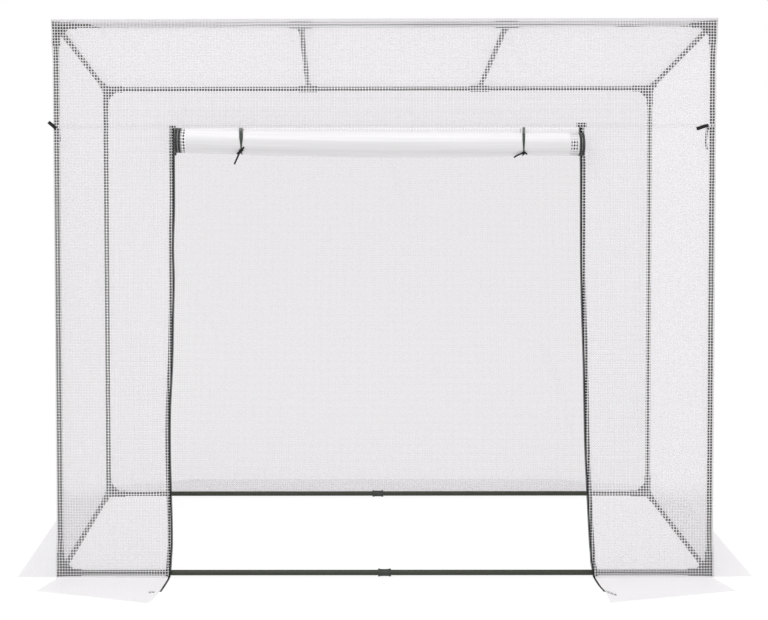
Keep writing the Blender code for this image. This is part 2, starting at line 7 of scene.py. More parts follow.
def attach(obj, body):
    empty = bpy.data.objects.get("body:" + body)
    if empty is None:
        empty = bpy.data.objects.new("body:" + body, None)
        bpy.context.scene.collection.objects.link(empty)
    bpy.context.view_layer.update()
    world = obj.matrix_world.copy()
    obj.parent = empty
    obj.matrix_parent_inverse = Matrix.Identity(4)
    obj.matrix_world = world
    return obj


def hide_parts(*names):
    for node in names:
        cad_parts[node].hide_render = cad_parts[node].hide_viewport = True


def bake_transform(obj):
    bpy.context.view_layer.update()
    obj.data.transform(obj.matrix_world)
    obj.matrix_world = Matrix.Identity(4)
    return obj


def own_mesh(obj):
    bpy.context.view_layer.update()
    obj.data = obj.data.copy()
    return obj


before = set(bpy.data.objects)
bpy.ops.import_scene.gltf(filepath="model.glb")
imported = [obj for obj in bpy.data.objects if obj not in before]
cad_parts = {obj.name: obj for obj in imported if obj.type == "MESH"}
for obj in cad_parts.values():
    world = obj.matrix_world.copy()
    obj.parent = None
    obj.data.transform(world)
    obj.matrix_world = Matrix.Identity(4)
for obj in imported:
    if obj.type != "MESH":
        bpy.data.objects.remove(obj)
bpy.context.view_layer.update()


# The studio: a white floor, an even white surround, one broad soft light over the door and a weaker one
# from the right. The camera stands in front of the door at head height and looks a little down.

CAMERA_PLACE = Vector((-0.1171, -4.0239, 1.4330))
PITCH, YAW, ROLL = (radians(angle) for angle in (1.790, -0.188, -0.106))
PICTURE_WIDTH, PICTURE_HEIGHT = 768, 620
FOCAL_PIXELS = 1222.6
AXIS_ACROSS, AXIS_DOWN = 341, 140
FLOOR_SIZE = 60
FLOOR_Z = -0.0006
FLOOR_GLOW = 0.86
FLOOR_WHITE = 1.04
ROOM_LIGHT = 0.90
WHITE = (1, 1, 1, 1)
FLOOR_PAPER = (0.86, 0.86, 0.86, 1)

forward = Vector((sin(YAW) * cos(PITCH), cos(YAW) * cos(PITCH), -sin(PITCH)))
level = Vector((cos(YAW), -sin(YAW), 0))
upward = level.cross(forward)
rightward = cos(ROLL) * level + sin(ROLL) * upward
skyward = cos(ROLL) * upward - sin(ROLL) * level
camera = bpy.data.objects.new("camera", bpy.data.cameras.new("camera"))
bpy.context.scene.collection.objects.link(camera)
camera.matrix_world = (
    Matrix.Translation(CAMERA_PLACE) @ Matrix((rightward, skyward, -forward)).transposed().to_4x4()
)
camera.data.sensor_width = 36
camera.data.lens = FOCAL_PIXELS * camera.data.sensor_width / PICTURE_WIDTH
camera.data.shift_x = (PICTURE_WIDTH / 2 - AXIS_ACROSS) / PICTURE_WIDTH
camera.data.shift_y = (AXIS_DOWN - PICTURE_HEIGHT / 2) / PICTURE_WIDTH
camera.data.clip_end = 200
bpy.context.scene.camera = camera
bpy.context.scene.view_settings.view_transform = "Standard"


class Signal:
    """A socket in a material. Sums on it add the Math nodes that they need."""

    def __init__(self, tree, socket=None):
        self.tree = tree
        self.socket = socket

    def node(self, kind, sockets=(), output=0, **settings):
        """A new node, with the values or links of its sockets and its own settings."""
        made = self.tree.nodes.new("ShaderNode" + kind)
        for name, value in settings.items():
            if name == "stops":
                while len(made.color_ramp.elements) < len(value):
                    made.color_ramp.elements.new(0.5)
                for element, (position, colour) in zip(made.color_ramp.elements, value):
                    element.position = position
                    element.color = colour
            else:
                setattr(made, name, value)
        for key, value in dict(sockets).items():
            if isinstance(value, Signal):
                self.tree.links.new(value.socket, made.inputs[key])
            else:
                made.inputs[key].default_value = value
        return Signal(self.tree, made.outputs[output])

    def other(self, output):
        return Signal(self.tree, self.socket.node.outputs[output])

    def math(self, operation, first, *rest):
        return self.node("Math", enumerate((first, *rest)), operation=operation)

    def __add__(self, other):
        return self.math("ADD", self, other)

    def __sub__(self, other):
        return self.math("SUBTRACT", self, other)

    def __rsub__(self, other):
        return self.math("SUBTRACT", other, self)

    def __mul__(self, other):
        return self.math("MULTIPLY", self, other)

    __radd__ = __add__
    __rmul__ = __mul__

    def noise(self, place, scale, detail, **more):
        return self.node("TexNoise", {"Vector": place, "Scale": scale, "Detail": detail, **more})

    def tone(self, share, dark, pale):
        """The colour at a share of the way from dark to pale."""
        return self.node("Mix", {0: share, 6: dark, 7: pale}, 2, data_type="RGBA")

    def step(self, value, zero_at, one_at):
        """A smooth step from 0 to 1."""
        limits = {0: value, 1: zero_at, 2: one_at, 3: 0, 4: 1}
        return self.node("MapRange", limits, interpolation_type="SMOOTHSTEP")

    def bump(self, height, strength, distance):
        return self.node("Bump", {"Strength": strength, "Distance": distance, "Height": height})

    def place(self):
        """The place on the piece itself."""
        return self.node("TexCoord", output="Object")

    def flat(self):
        """The place on the sheet's flat cut, in metres."""
        return self.node("UVMap", uv_map="threads")

    def feed(self, key, node="Principled BSDF"):
        """Leads it to a socket of the plain shader, or of another node by its name."""
        self.tree.links.new(self.socket, self.tree.nodes[node].inputs[key])

    def show(self, output="Material Output"):
        """Puts a finished shader on its material or world."""
        self.feed("Surface", output)


def surround_seen(start):
    """1 where the eye, a gloss or a clear part looks at the surround, and 0 where it only gives light."""
    path = start.node("LightPath")
    seen = start.math("MAXIMUM", path, path.other("Is Glossy Ray"))
    return start.math("MAXIMUM", seen, path.other("Is Transmission Ray"))


def fresh(name, add, **options):
    """A new primitive, alone in the selection, with its place and turn worked into its mesh."""
    bpy.ops.object.select_all(action="DESELECT")
    add(**options)
    piece = bpy.context.object
    piece.name = piece.data.name = name
    bpy.ops.object.transform_apply(location=True, rotation=True, scale=True)
    return piece


surround = bpy.data.worlds.new("surround")
surround.use_nodes = True
bpy.context.scene.world = surround
start = Signal(surround.node_tree)
light_level = surround_seen(start) * (1 - ROOM_LIGHT) + ROOM_LIGHT
start.node("Background", {"Color": WHITE, "Strength": light_level}).show("World Output")

floor = fresh("studio_floor", bpy.ops.mesh.primitive_plane_add, size=FLOOR_SIZE, location=(0, 0, FLOOR_Z))
floor_paper = bpy.data.materials.new("floor_paper")
floor_paper.use_nodes = True
start = Signal(floor_paper.node_tree)
paper = start.node("BsdfDiffuse", {"Color": FLOOR_PAPER})
glow = start.node("Emission", {"Color": WHITE, "Strength": FLOOR_WHITE})
start.node("MixShader", {0: surround_seen(start) * FLOOR_GLOW, 1: paper, 2: glow}).show()
floor.data.materials.append(floor_paper)

for name, place, width, height, power in (
    ("light_over_door", (-1.2, -3.6, 4.6), 3.6, 2.4, 88),
    ("light_from_right", (4.6, -1.4, 3.2), 2.4, 2.4, 46),
):
    softbox = bpy.data.objects.new(name, bpy.data.lights.new(name, "AREA"))
    bpy.context.scene.collection.objects.link(softbox)
    softbox.data.shape = "RECTANGLE"
    softbox.data.size = width
    softbox.data.size_y = height
    softbox.data.energy = power
    aim = Vector((0, 0, 0.9)) - Vector(place)
    softbox.matrix_world = Matrix.Translation(place) @ aim.to_track_quat("-Z", "Y").to_matrix().to_4x4()


# Steel tubes: 16 mm thin-walled tube with a dark grey-green powder coat. Each is cut square with its
# rims eased, and pushes into the plastic sockets at both ends.

TUBE_RADIUS = 0.008
TUBE_BORE = 0.0072
RIM_EASE = 0.0003
RING_SIDES = 32
SMOOTH_BELOW = radians(35)
FRAME_X, FRAME_Y = 0.9777, 0.3727
LOW_Z = 0.0115
TOP_Z = {"front": 1.662544, "rear": 1.478614}
RAFTER_X = {"left": -0.248, "right": 0.365}
CORNER_INSET, TEE_INSET, BRANCH_INSET, COUPLER_INSET = 0.0253, 0.0123, 0.0173, 0.0018
rows = {"front": -FRAME_Y, "rear": FRAME_Y}
sides = {"left": -FRAME_X, "right": FRAME_X}


def edit_all():
    bpy.ops.object.mode_set(mode="EDIT")
    bpy.ops.mesh.select_all(action="SELECT")


def face_out():
    """Turns every face of the active piece outwards."""
    edit_all()
    bpy.ops.mesh.normals_make_consistent(inside=False)
    bpy.ops.object.mode_set(mode="OBJECT")


def turned(name, start, along, outline, hollow=False):
    """A round piece drawn out ring by ring. outline gives each ring's place along it and radius."""
    start = Vector(start)
    along = Vector(along).normalized()
    place, radius = outline[0]
    piece = fresh(
        name,
        bpy.ops.mesh.primitive_circle_add,
        vertices=RING_SIDES,
        radius=radius,
        location=start + along * place,
        rotation=along.to_track_quat("Z", "Y").to_euler(),
    )
    edit_all()
    for (last_place, last_radius), (place, radius) in zip(outline, outline[1:]):
        bpy.ops.mesh.extrude_edges_move(TRANSFORM_OT_translate={"value": along * (place - last_place)})
        grown = radius / last_radius
        bpy.ops.transform.resize(value=(grown,) * 3, center_override=start + along * place)
    if hollow:
        bpy.ops.mesh.select_non_manifold()
        bpy.ops.mesh.bridge_edge_loops()
    else:
        bpy.ops.mesh.edge_face_add()
        bpy.ops.mesh.select_all(action="DESELECT")
        bpy.ops.mesh.select_non_manifold()
        bpy.ops.mesh.edge_face_add()
    face_out()
    bpy.ops.object.shade_smooth_by_angle(angle=SMOOTH_BELOW)
    return piece


def material(name, colour, roughness, **more):
    """A material with one plain shader, and the signal that its maths starts from: the shader's own."""
    made = bpy.data.materials.new(name)
    made.use_nodes = True
    shader = made.node_tree.nodes["Principled BSDF"]
    for key, value in {"Base_Color": (*colour, 1), "Roughness": roughness, **more}.items():
        shader.inputs[key.replace("_", " ")].default_value = value
    return made, Signal(made.node_tree, shader.outputs[0])


def powder_coat():
    """Dark grey-green coat: fine orange peel, cloudy tone, and paler rubs along the tube."""
    made, start = material("powder_coat", (0.018, 0.021, 0.014), 0.42, Specular_IOR_Level=0.35)
    place = start.place()
    cloud = start.noise(place, 14, 4)
    peel = start.noise(place, 900, 2)
    rubs = start.noise(place, 60, 6, Roughness=0.75)
    rubbed = start.node("MapRange", {0: rubs, 1: 0.62, 2: 0.75, 3: 0, 4: 0.5})
    tone = start.tone(cloud, (0.022, 0.025, 0.015, 1), (0.040, 0.045, 0.029, 1))
    start.tone(rubbed, tone, (0.07, 0.08, 0.06, 1)).feed("Base Color")
    (cloud * 0.14 + 0.34).feed("Roughness")
    start.bump(peel, 0.25, 0.0002).feed("Normal")
    return made


def low_corner(row, side):
    return Vector((sides[side], rows[row], LOW_Z))


def top_point(row, x):
    return Vector((x, rows[row], TOP_Z[row]))


coat = powder_coat()


def dress(piece, look, node=None, body="frame"):
    """Gives a piece its material and slot, the node that it replaces and the body that it moves with."""
    piece.data.materials.append(look)
    if node:
        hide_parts(node)
    if body:
        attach(piece, body)
    return piece


def tube(node, start, end, start_inset, end_inset):
    """A cut tube between two joint centres, stopping short of each."""
    run = end - start
    length = run.length - start_inset - end_inset
    outline = [
        (0, TUBE_BORE),
        (0, TUBE_RADIUS - RIM_EASE),
        (RIM_EASE, TUBE_RADIUS),
        (length - RIM_EASE, TUBE_RADIUS),
        (length, TUBE_RADIUS - RIM_EASE),
        (length, TUBE_BORE),
    ]
    piece = turned(f"{node}_steel", start + run.normalized() * start_inset, run, outline, hollow=True)
    dress(piece, coat, node)


for row in rows:
    coupler = Vector((0, rows[row], LOW_Z))
    for side in sides:
        low = low_corner(row, side)
        top = top_point(row, sides[side])
        tee = top_point(row, RAFTER_X[side])
        tube(f"{row}_{side}_upright", low, top, CORNER_INSET, CORNER_INSET)
        tube(f"{row}_bottom_rail_{side}", low, coupler, CORNER_INSET, COUPLER_INSET)
        tube(f"{row}_top_rail_{side}", top, tee, CORNER_INSET, TEE_INSET)
    left_tee, right_tee = (top_point(row, x) for x in RAFTER_X.values())
    tube(f"{row}_top_rail_middle", left_tee, right_tee, TEE_INSET, TEE_INSET)

for side, x in sides.items():
    low_front, low_rear = (low_corner(row, side) for row in rows)
    top_front, top_rear = (top_point(row, x) for row in rows)
    rafter_front, rafter_rear = (top_point(row, RAFTER_X[side]) for row in rows)
    tube(f"{side}_side_bottom_rail", low_front, low_rear, CORNER_INSET, CORNER_INSET)
    tube(f"{side}_side_top_rail", top_front, top_rear, CORNER_INSET, CORNER_INSET)
    tube(f"{side}_rafter", rafter_front, rafter_rear, BRANCH_INSET, BRANCH_INSET)


# Plastic sockets: dark green-black mouldings with a round sleeve for each tube. A collar stiffens each
# mouth, and a thin web braces each pair of sleeves.

SLEEVE_RADIUS = 0.0105
SLEEVE_BORE = 0.0083
COLLAR_RADIUS = 0.0113
COLLAR_LENGTH = 0.007
HUB_HALF = 0.0115
HUB_BEVEL = 0.0035
CORNER_ARM, CORNER_DEPTH = 0.060, 0.035
TEE_ARM, TEE_DEPTH = 0.034, 0.022
BRANCH_ARM, BRANCH_DEPTH = 0.045, 0.028
COUPLER_HALF, COUPLER_DEPTH = 0.0195, 0.018
WEB_START, WEB_REACH, WEB_HALF = 0.009, 0.030, 0.0014
TEE_ARMS = ((1, 0.006), (-1, 0.005))
COUPLER_HALVES = ((1, 0.0012), (-1, 0.0008))


def sleeve(name, centre, along, root, reach, depth, radius):
    """A socket sleeve from its root out to its mouth, back in at the mouth and down to the bore's floor."""
    return turned(name, centre, along, [
        (root, radius - RIM_EASE),
        (reach - COLLAR_LENGTH, radius),
        (reach - COLLAR_LENGTH + 2 * RIM_EASE, COLLAR_RADIUS),
        (reach - 2 * RIM_EASE, COLLAR_RADIUS),
        (reach, COLLAR_RADIUS - 2 * RIM_EASE),
        (reach, SLEEVE_BORE + RIM_EASE),
        (reach - RIM_EASE, SLEEVE_BORE),
        (reach - depth, SLEEVE_BORE),
    ])


def web(centre, first, second):
    """A flat gusset in the angle between two sleeves."""
    gusset = fresh("web", bpy.ops.mesh.primitive_cube_add, size=1, location=(0.5, 0.5, 0))
    edit_all()
    bpy.ops.mesh.bisect(plane_co=(0.5, 0.5, 0), plane_no=(1, 1, 0), use_fill=True, clear_outer=True)
    bpy.ops.object.mode_set(mode="OBJECT")
    across = first.cross(second).normalized()
    spread = Matrix((first * WEB_REACH, second * WEB_REACH, across * 2 * WEB_HALF)).transposed().to_4x4()
    gusset.data.transform(Matrix.Translation(centre + (first + second) * WEB_START) @ spread)
    face_out()
    return gusset


def moulded(name, node, pieces):
    """Welds the pieces of one moulding into one solid and finishes it."""
    whole = pieces[0]
    whole.name = whole.data.name = name
    bpy.ops.object.select_all(action="DESELECT")
    bpy.context.view_layer.objects.active = whole
    for piece in pieces[1:]:
        weld = whole.modifiers.new("weld", "BOOLEAN")
        weld.operation = "UNION"
        weld.solver = "EXACT"
        weld.object = piece
        bpy.ops.object.modifier_apply(modifier=weld.name)
        bpy.data.objects.remove(piece)
    whole.select_set(True)
    bpy.ops.object.shade_smooth_by_angle(angle=SMOOTH_BELOW)
    whole.data.materials.clear()
    dress(whole, moulding, node)


def moulded_plastic():
    """Green-black polyethylene: a matt moulded grain with soft cloudy gloss."""
    made, start = material("moulded_plastic", (0.020, 0.024, 0.018), 0.5)
    place = start.place()
    grain = start.noise(place, 1500, 3)
    cloud = start.noise(place, 45, 3)
    start.tone(cloud, (0.014, 0.017, 0.012, 1), (0.030, 0.035, 0.027, 1)).feed("Base Color")
    (cloud * 0.2 + 0.38).feed("Roughness")
    start.bump(grain, 0.3, 0.0002).feed("Normal")
    return made


moulding = moulded_plastic()


def hub(centre):
    """The block in the middle of a corner, with its edges rounded."""
    block = fresh("hub", bpy.ops.mesh.primitive_cube_add, size=2 * HUB_HALF, location=centre)
    rounding = block.modifiers.new("rounding", "BEVEL")
    rounding.width = HUB_BEVEL
    rounding.segments = 3
    bpy.ops.object.modifier_apply(modifier=rounding.name)
    return block


def corner(name, centre, neighbours):
    """A hub with three sleeves towards the neighbouring joints, and a web in each angle."""
    ways = [(other - centre).normalized() for other in neighbours]
    pieces = [hub(centre)]
    for way in ways:
        root = HUB_HALF / 2
        pieces.append(sleeve(name, centre, way, root, CORNER_ARM, CORNER_DEPTH, SLEEVE_RADIUS))
    for first, second in ((0, 1), (1, 2), (2, 0)):
        pieces.append(web(centre, ways[first], ways[second]))
    moulded(f"{name}_socket", name, pieces)


for row, other_row in (("front", "rear"), ("rear", "front")):
    for side, x in sides.items():
        low = low_corner(row, side)
        top = top_point(row, x)
        tee = top_point(row, RAFTER_X[side])
        beside = low_corner(row, "right" if side == "left" else "left")
        corner(f"{row}_{side}_bottom_corner", low, (beside, low_corner(other_row, side), top))
        corner(f"{row}_{side}_top_corner", top, (tee, top_point(other_row, x), low))

        branch = (top_point(other_row, RAFTER_X[side]) - tee).normalized()
        arms = [
            sleeve("tee", tee, (way, 0, 0), -over, TEE_ARM, TEE_DEPTH, HUB_HALF - RIM_EASE)
            for way, over in TEE_ARMS
        ]
        arms.append(sleeve("tee", tee, branch, RIM_EASE, BRANCH_ARM, BRANCH_DEPTH, SLEEVE_RADIUS))
        for way, over in TEE_ARMS:
            arms.append(web(tee, Vector((way, 0, 0)), branch))
        moulded(f"{row}_{side}_tee_socket", f"{row}_{side}_tee", arms)

    middle = Vector((0, rows[row], LOW_Z))
    halves = [
        sleeve("coupler", middle, (way, 0, 0), -over, COUPLER_HALF, COUPLER_DEPTH, SLEEVE_RADIUS - RIM_EASE)
        for way, over in COUPLER_HALVES
    ]
    moulded(f"{row}_bottom_coupler_socket", f"{row}_bottom_coupler", halves)


# Cover film: clear polyethylene laminated over a white thread net, cut in flat panels and sewn into a
# hood that drops over the frame. The net shows as squares, and the tubes behind show through them.

HALF_WIDTH, HALF_DEPTH = 0.99, 0.385
FILM = 0.0005
SEWN_GAP = 0.0003
SEAM_Z = 1.356
HEM_Z = 0.0006
ROOF_SLOPE = atan2(0.19, 0.77)
FRONT_HEIGHT = 1.68
UNDER_ROOF = FILM / cos(ROOF_SLOPE) + SEWN_GAP
NET_PITCH = 0.0084
THREAD_HALF, THREAD_SOFT, THREAD_SWAY = 0.132, 0.030, 0.25
CLEAR_CELLS, CLEAR_THREADS = (0.993, 0.990, 0.993), (0.900, 0.890, 0.900)
MILKY_CELLS = (0.920, 0.911, 0.920)
WALL_THREADS, ROOF_THREADS = (0.908, 0.898, 0.908), (0.935, 0.925, 0.935)
CELL_HAZE = 0.012
MILKY_FOOT = (0.30, 0.22)
GRID = 0.022
EDGE_HOLD, HELD_BELOW = 0.07, 0.16
BILLOW, CREASE, RIPPLE = 0.0045, 0.0022, 0.0006
DRAW_IN, SOCKET_CLEAR, SOCKET_FADE = 0.0034, 0.050, 0.08
FOOT_CLEAR, FOOT_FADE = 0.005, 0.06
EDGE_BLEND = 0.06


def eased(share):
    share = min(max(share, 0), 1)
    return share * share * (3 - 2 * share)


def laid(name, columns, rows_along, lay, thickness=FILM, offset=0):
    """A sheet from a grid. lay() takes shares across and along it, and gives its flat cut's point and its
    place."""
    grid = bpy.ops.mesh.primitive_grid_add
    sheet = fresh(name, grid, x_subdivisions=columns, y_subdivisions=rows_along, size=1)
    cut = []
    for vertex in sheet.data.vertices:
        point, place = lay(vertex.co.x + 0.5, vertex.co.y + 0.5)
        cut.append(point)
        vertex.co = place
    threads = sheet.data.uv_layers.active
    threads.name = "threads"
    for loop in sheet.data.loops:
        threads.data[loop.index].uv = cut[loop.vertex_index]
    wall = sheet.modifiers.new("thickness", "SOLIDIFY")
    wall.thickness = thickness
    wall.offset = offset
    bpy.ops.object.modifier_apply(modifier=wall.name)
    bpy.ops.object.shade_smooth_by_angle(angle=radians(40))
    return sheet


def ruled(u_ends, v_ends, place):
    """The lay() of a straight cut, from end to end in flat metres, each point of which place() sets down."""
    def lay(across, along):
        u = u_ends[0] + (u_ends[1] - u_ends[0]) * across
        v = v_ends[0] + (v_ends[1] - v_ends[0]) * along
        return (u, v), place(u, v)

    return lay


def thread_net(start, flat):
    """1 on the threads that run each way and 0 in the cells between them, in flat metres."""
    sway = start.noise(flat, 22, 1)
    parts = start.node("SeparateXYZ", {0: flat})
    threads = []
    for way in (parts, parts.other(1)):
        turns = way * (1 / NET_PITCH) + sway * THREAD_SWAY
        off_centre = start.math("ABSOLUTE", start.math("FRACT", turns) - 0.5)
        threads.append(start.step(off_centre, THREAD_HALF + THREAD_SOFT, THREAD_HALF - THREAD_SOFT))
    return threads


def netted_film(name, cell_tint, thread_tint, see_through, foot_tint=None):
    """Film with its net of white threads. see_through is the share of light that goes on through a thread,
    and foot_tint is for film that is milkier near the ground."""
    made, start = material(name, thread_tint, 0.32)
    flat = start.flat()
    threads = thread_net(start, flat)
    crumple = start.noise(flat, 17, 3, Distortion=0.6)
    relief = (threads[0] + threads[1]) * 0.1 + crumple * 5
    start.bump(relief, 0.35, 0.0004).feed("Normal")
    clear = start.node("BsdfTransparent", {"Color": (*cell_tint, 1)})
    if foot_tint:
        height = start.node("SeparateXYZ", {0: start.node("NewGeometry")}, 2)
        milky = start.node("BsdfTransparent", {"Color": (*foot_tint, 1)})
        clear = start.node("MixShader", {0: start.step(height, *MILKY_FOOT), 1: clear, 2: milky})
    behind = start.node("BsdfTranslucent", {"Color": (*thread_tint, 1)})
    cloth = start.node("MixShader", {0: see_through, 1: start, 2: behind})
    cover = start.math("MAXIMUM", *threads) * (1 - CELL_HAZE) + CELL_HAZE
    start.node("MixShader", {0: cover, 1: clear, 2: cloth}).show()
    return made


clear_film = netted_film("clear_film", CLEAR_CELLS, CLEAR_THREADS, 0.49)
panel_film = netted_film("panel_film", CLEAR_CELLS, CLEAR_THREADS, 0.49, MILKY_CELLS)
wall_film = netted_film("wall_film", MILKY_CELLS, WALL_THREADS, 0.90)
roof_film = netted_film("roof_film", MILKY_CELLS, ROOF_THREADS, 0.60)


def slack(u, v, edges, seed):
    """How far film stands off the frame: nothing along its edges, and soft swells and folds between them."""
    low_u, high_u, low_v, high_v = edges
    free = 1
    for away in (u - low_u, high_u - u, v - low_v, high_v - v):
        free *= eased(away / EDGE_HOLD)
    swell = noise.noise(Vector((u * 1.9, v * 1.5, seed)))
    fold = 1 - abs(noise.noise(Vector((u * 2.6 + v, v * 1.7, seed + 9))))
    ripple = noise.noise(Vector((u * 11, v * 8, seed + 4)))
    return free * (BILLOW * (0.5 + 0.5 * swell) + CREASE * fold ** 9 + RIPPLE * (ripple + 1))


def roof_height(y):
    return FRONT_HEIGHT - (y + HALF_DEPTH) * tan(ROOF_SLOPE)


def drawn_in(y, z):
    """How far the film is pulled in against the side tubes, clear of the sockets and of the skirts."""
    free = eased((z - FOOT_CLEAR) / FOOT_FADE)
    for end in (-1, 1):
        for corner_z in (LOW_Z, roof_height(end * HALF_DEPTH)):
            away = hypot(y - end * HALF_DEPTH, z - corner_z)
            free *= eased((away - SOCKET_CLEAR) / SOCKET_FADE)
    return DRAW_IN * free


def to_side(x, y, z):
    """Moves a place near a panel's outer edge in with the side wall that it is sewn to."""
    near_edge = eased((abs(x) - HALF_WIDTH + EDGE_BLEND) / EDGE_BLEND)
    return x - copysign(drawn_in(y, z) * near_edge, x)


def finish_film(sheet, body, node=None, flat=None, area=None,
                film=clear_film):
    dress(sheet, film, node, body)


def steps(length):
    return max(2, round(length / GRID))


def straight_panel(name, node, x_ends, ends, place, film):
    """A panel with a square cut, as wide as the cover, that place() hangs in the air."""
    low, high = ends
    sheet = laid(name, steps(2 * HALF_WIDTH), steps(high - low), ruled(x_ends, ends, place))
    finish_film(sheet, "frame", node, flat=(2 * HALF_WIDTH, high - low), film=film)


wall_y = HALF_DEPTH - FILM / 2
header_top = roof_height(-HALF_DEPTH + FILM) - UNDER_ROOF
header_edges = (-HALF_WIDTH, HALF_WIDTH, SEAM_Z, header_top)
back_top = roof_height(HALF_DEPTH) - UNDER_ROOF
back_edges = (-HALF_WIDTH, HALF_WIDTH, HELD_BELOW, back_top)


def header_place(x, z, proud=0):
    return Vector((to_side(x, -HALF_DEPTH, z), -wall_y - slack(x, z, header_edges, 3) - proud, z))


def back_place(x, z, proud=0):
    return Vector((to_side(x, HALF_DEPTH, z), wall_y + slack(x, z, back_edges, 21) + proud, z))


straight_panel("header_film", "front_header_panel", (-HALF_WIDTH, HALF_WIDTH), (SEAM_Z, header_top),
               header_place, clear_film)
straight_panel("back_film", "back_panel", (HALF_WIDTH, -HALF_WIDTH), (HEM_Z, back_top),
               back_place, wall_film)

side_end = HALF_DEPTH - FILM - SEWN_GAP
wall_x = HALF_WIDTH - FILM / 2
for side, sign, seed in (("left", -1, 31), ("right", 1, 47)):
    def lay_side(across, up):
        y = sign * side_end * (2 * across - 1)
        high = roof_height(y) - UNDER_ROOF
        z = HEM_Z + (high - HEM_Z) * up
        out = slack(y, z, (-side_end, side_end, HELD_BELOW, high), seed)
        return (y, z), Vector((sign * (wall_x + out - drawn_in(y, z)), y, z))

    wall = laid(f"{side}_side_film", steps(2 * side_end), steps(FRONT_HEIGHT), lay_side)
    tallest, lowest = (roof_height(y) - UNDER_ROOF - HEM_Z for y in (-side_end, side_end))
    finish_film(wall, "frame", f"{side}_side_panel", flat=(2 * side_end, tallest),
                area=side_end * (tallest + lowest), film=wall_film)

ROOF_SAG, ROOF_SLACK = 0.009, 0.4
roof_length = 2 * HALF_DEPTH / cos(ROOF_SLOPE)
roof_down = Vector((0, cos(ROOF_SLOPE), -sin(ROOF_SLOPE)))
roof_out = Vector((0, sin(ROOF_SLOPE), cos(ROOF_SLOPE)))
roof_edge = Vector((0, -HALF_DEPTH, FRONT_HEIGHT)) - roof_out * FILM / 2
bays = (-FRAME_X, RAFTER_X["left"], RAFTER_X["right"], FRAME_X)


def roof_place(x, down, proud=0):
    """The roof hangs a little between its tubes and is held flat over them."""
    sag = 0
    for low, high in zip(bays, bays[1:]):
        if low < x < high:
            sag = sin(pi * (x - low) / (high - low)) * sin(pi * down / roof_length)
    out = ROOF_SLACK * slack(x, down, (-HALF_WIDTH, HALF_WIDTH, 0, roof_length), 63)
    place = roof_edge + roof_down * down
    across = Vector((to_side(x, place.y, place.z), 0, 0))
    return place + across + roof_out * (out - ROOF_SAG * sag ** 0.8 + proud)


straight_panel("roof_film", "roof_panel", (-HALF_WIDTH, HALF_WIDTH), (0, roof_length),
               roof_place, roof_film)


# Front panels: film on each side of the doorway. Their inner edges are sewn to the zips and wander a
# little with them, and at the foot the edge swings outwards onto the skirt.

ZIP_SHOWN, ZIP_HIDDEN = 0.009, 0.007
FILM_EDGE = 0.002
ZIP_LINE = {
    "left": ((0, -0.6500), (0.03, -0.6462), (0.06, -0.6443), (0.10, -0.6418), (0.19, -0.6421),
             (0.26, -0.6438), (0.41, -0.6460), (0.52, -0.6442), (0.65, -0.6374), (0.79, -0.6340),
             (0.90, -0.6312), (1.0, -0.6328), (1.12, -0.6290), (1.24, -0.6287), (1.30, -0.6286),
             (SEAM_Z, -0.6280)),
    "right": ((0, 0.6312), (0.03, 0.6264), (0.049, 0.6227), (0.0606, 0.6221), (0.072, 0.6216),
              (0.10, 0.6190), (0.15, 0.6160), (0.27, 0.6095), (0.41, 0.6030), (0.65, 0.5975),
              (0.79, 0.5925), (0.94, 0.5885), (1.10, 0.5872), (1.24, 0.5865), (1.30, 0.5846),
              (SEAM_Z, 0.5830)),
}


def between(line, place):
    """The value of a smooth line at a place, from its (place, value) points."""
    last = len(line) - 1
    i = max(0, min(last - 1, sum(1 for mark, value in line if mark <= place) - 1))
    (start, first), (end, second) = line[i], line[i + 1]
    step = end - start
    t = min(max((place - start) / step, 0), 1)

    def slope(k):
        before, after = line[max(k - 1, 0)], line[min(k + 1, last)]
        return (after[1] - before[1]) / (after[0] - before[0]) * step

    return (
        first * (2 * t ** 3 - 3 * t ** 2 + 1)
        + slope(i) * (t ** 3 - 2 * t ** 2 + t)
        + second * (3 * t ** 2 - 2 * t ** 3)
        + slope(i + 1) * (t ** 3 - t ** 2)
    )


def zip_x(side, height):
    return between(ZIP_LINE[side], min(max(height, 0), SEAM_Z))


front_top = SEAM_Z - SEWN_GAP
for side, sign, seed in (("left", -1, 81), ("right", 1, 97)):
    def lay_front(across, up):
        z = HEM_Z + (front_top - HEM_Z) * up
        low, high = sorted((zip_x(side, z) + sign * FILM_EDGE, sign * HALF_WIDTH))
        x = low + (high - low) * across
        out = slack(x, z, (low, high, HELD_BELOW, SEAM_Z), seed)
        return (x, z), Vector((to_side(x, -HALF_DEPTH, z), -wall_y - out, z))

    panel_width = HALF_WIDTH - abs(zip_x(side, 0)) + ZIP_SHOWN
    panel = laid(f"front_{side}_film", steps(panel_width), steps(front_top), lay_front)
    widest = HALF_WIDTH - min(abs(value) for place, value in ZIP_LINE[side])
    widths = [HALF_WIDTH - abs(zip_x(side, SEAM_Z * i / 40)) for i in range(41)]
    area = (sum(widths) / len(widths) - FILM_EDGE) * (front_top - HEM_Z)
    finish_film(panel, "frame", f"front_{side}_panel", flat=(widest, front_top - HEM_Z),
                area=area, film=panel_film)


# Seams: where two panels meet, their edges are turned back and sewn together, so the film is doubled.
# They run round the roof, down the corners and across above the door. Where the front seam hides its
# tube, its two nets lie half a square apart, which closes the squares.

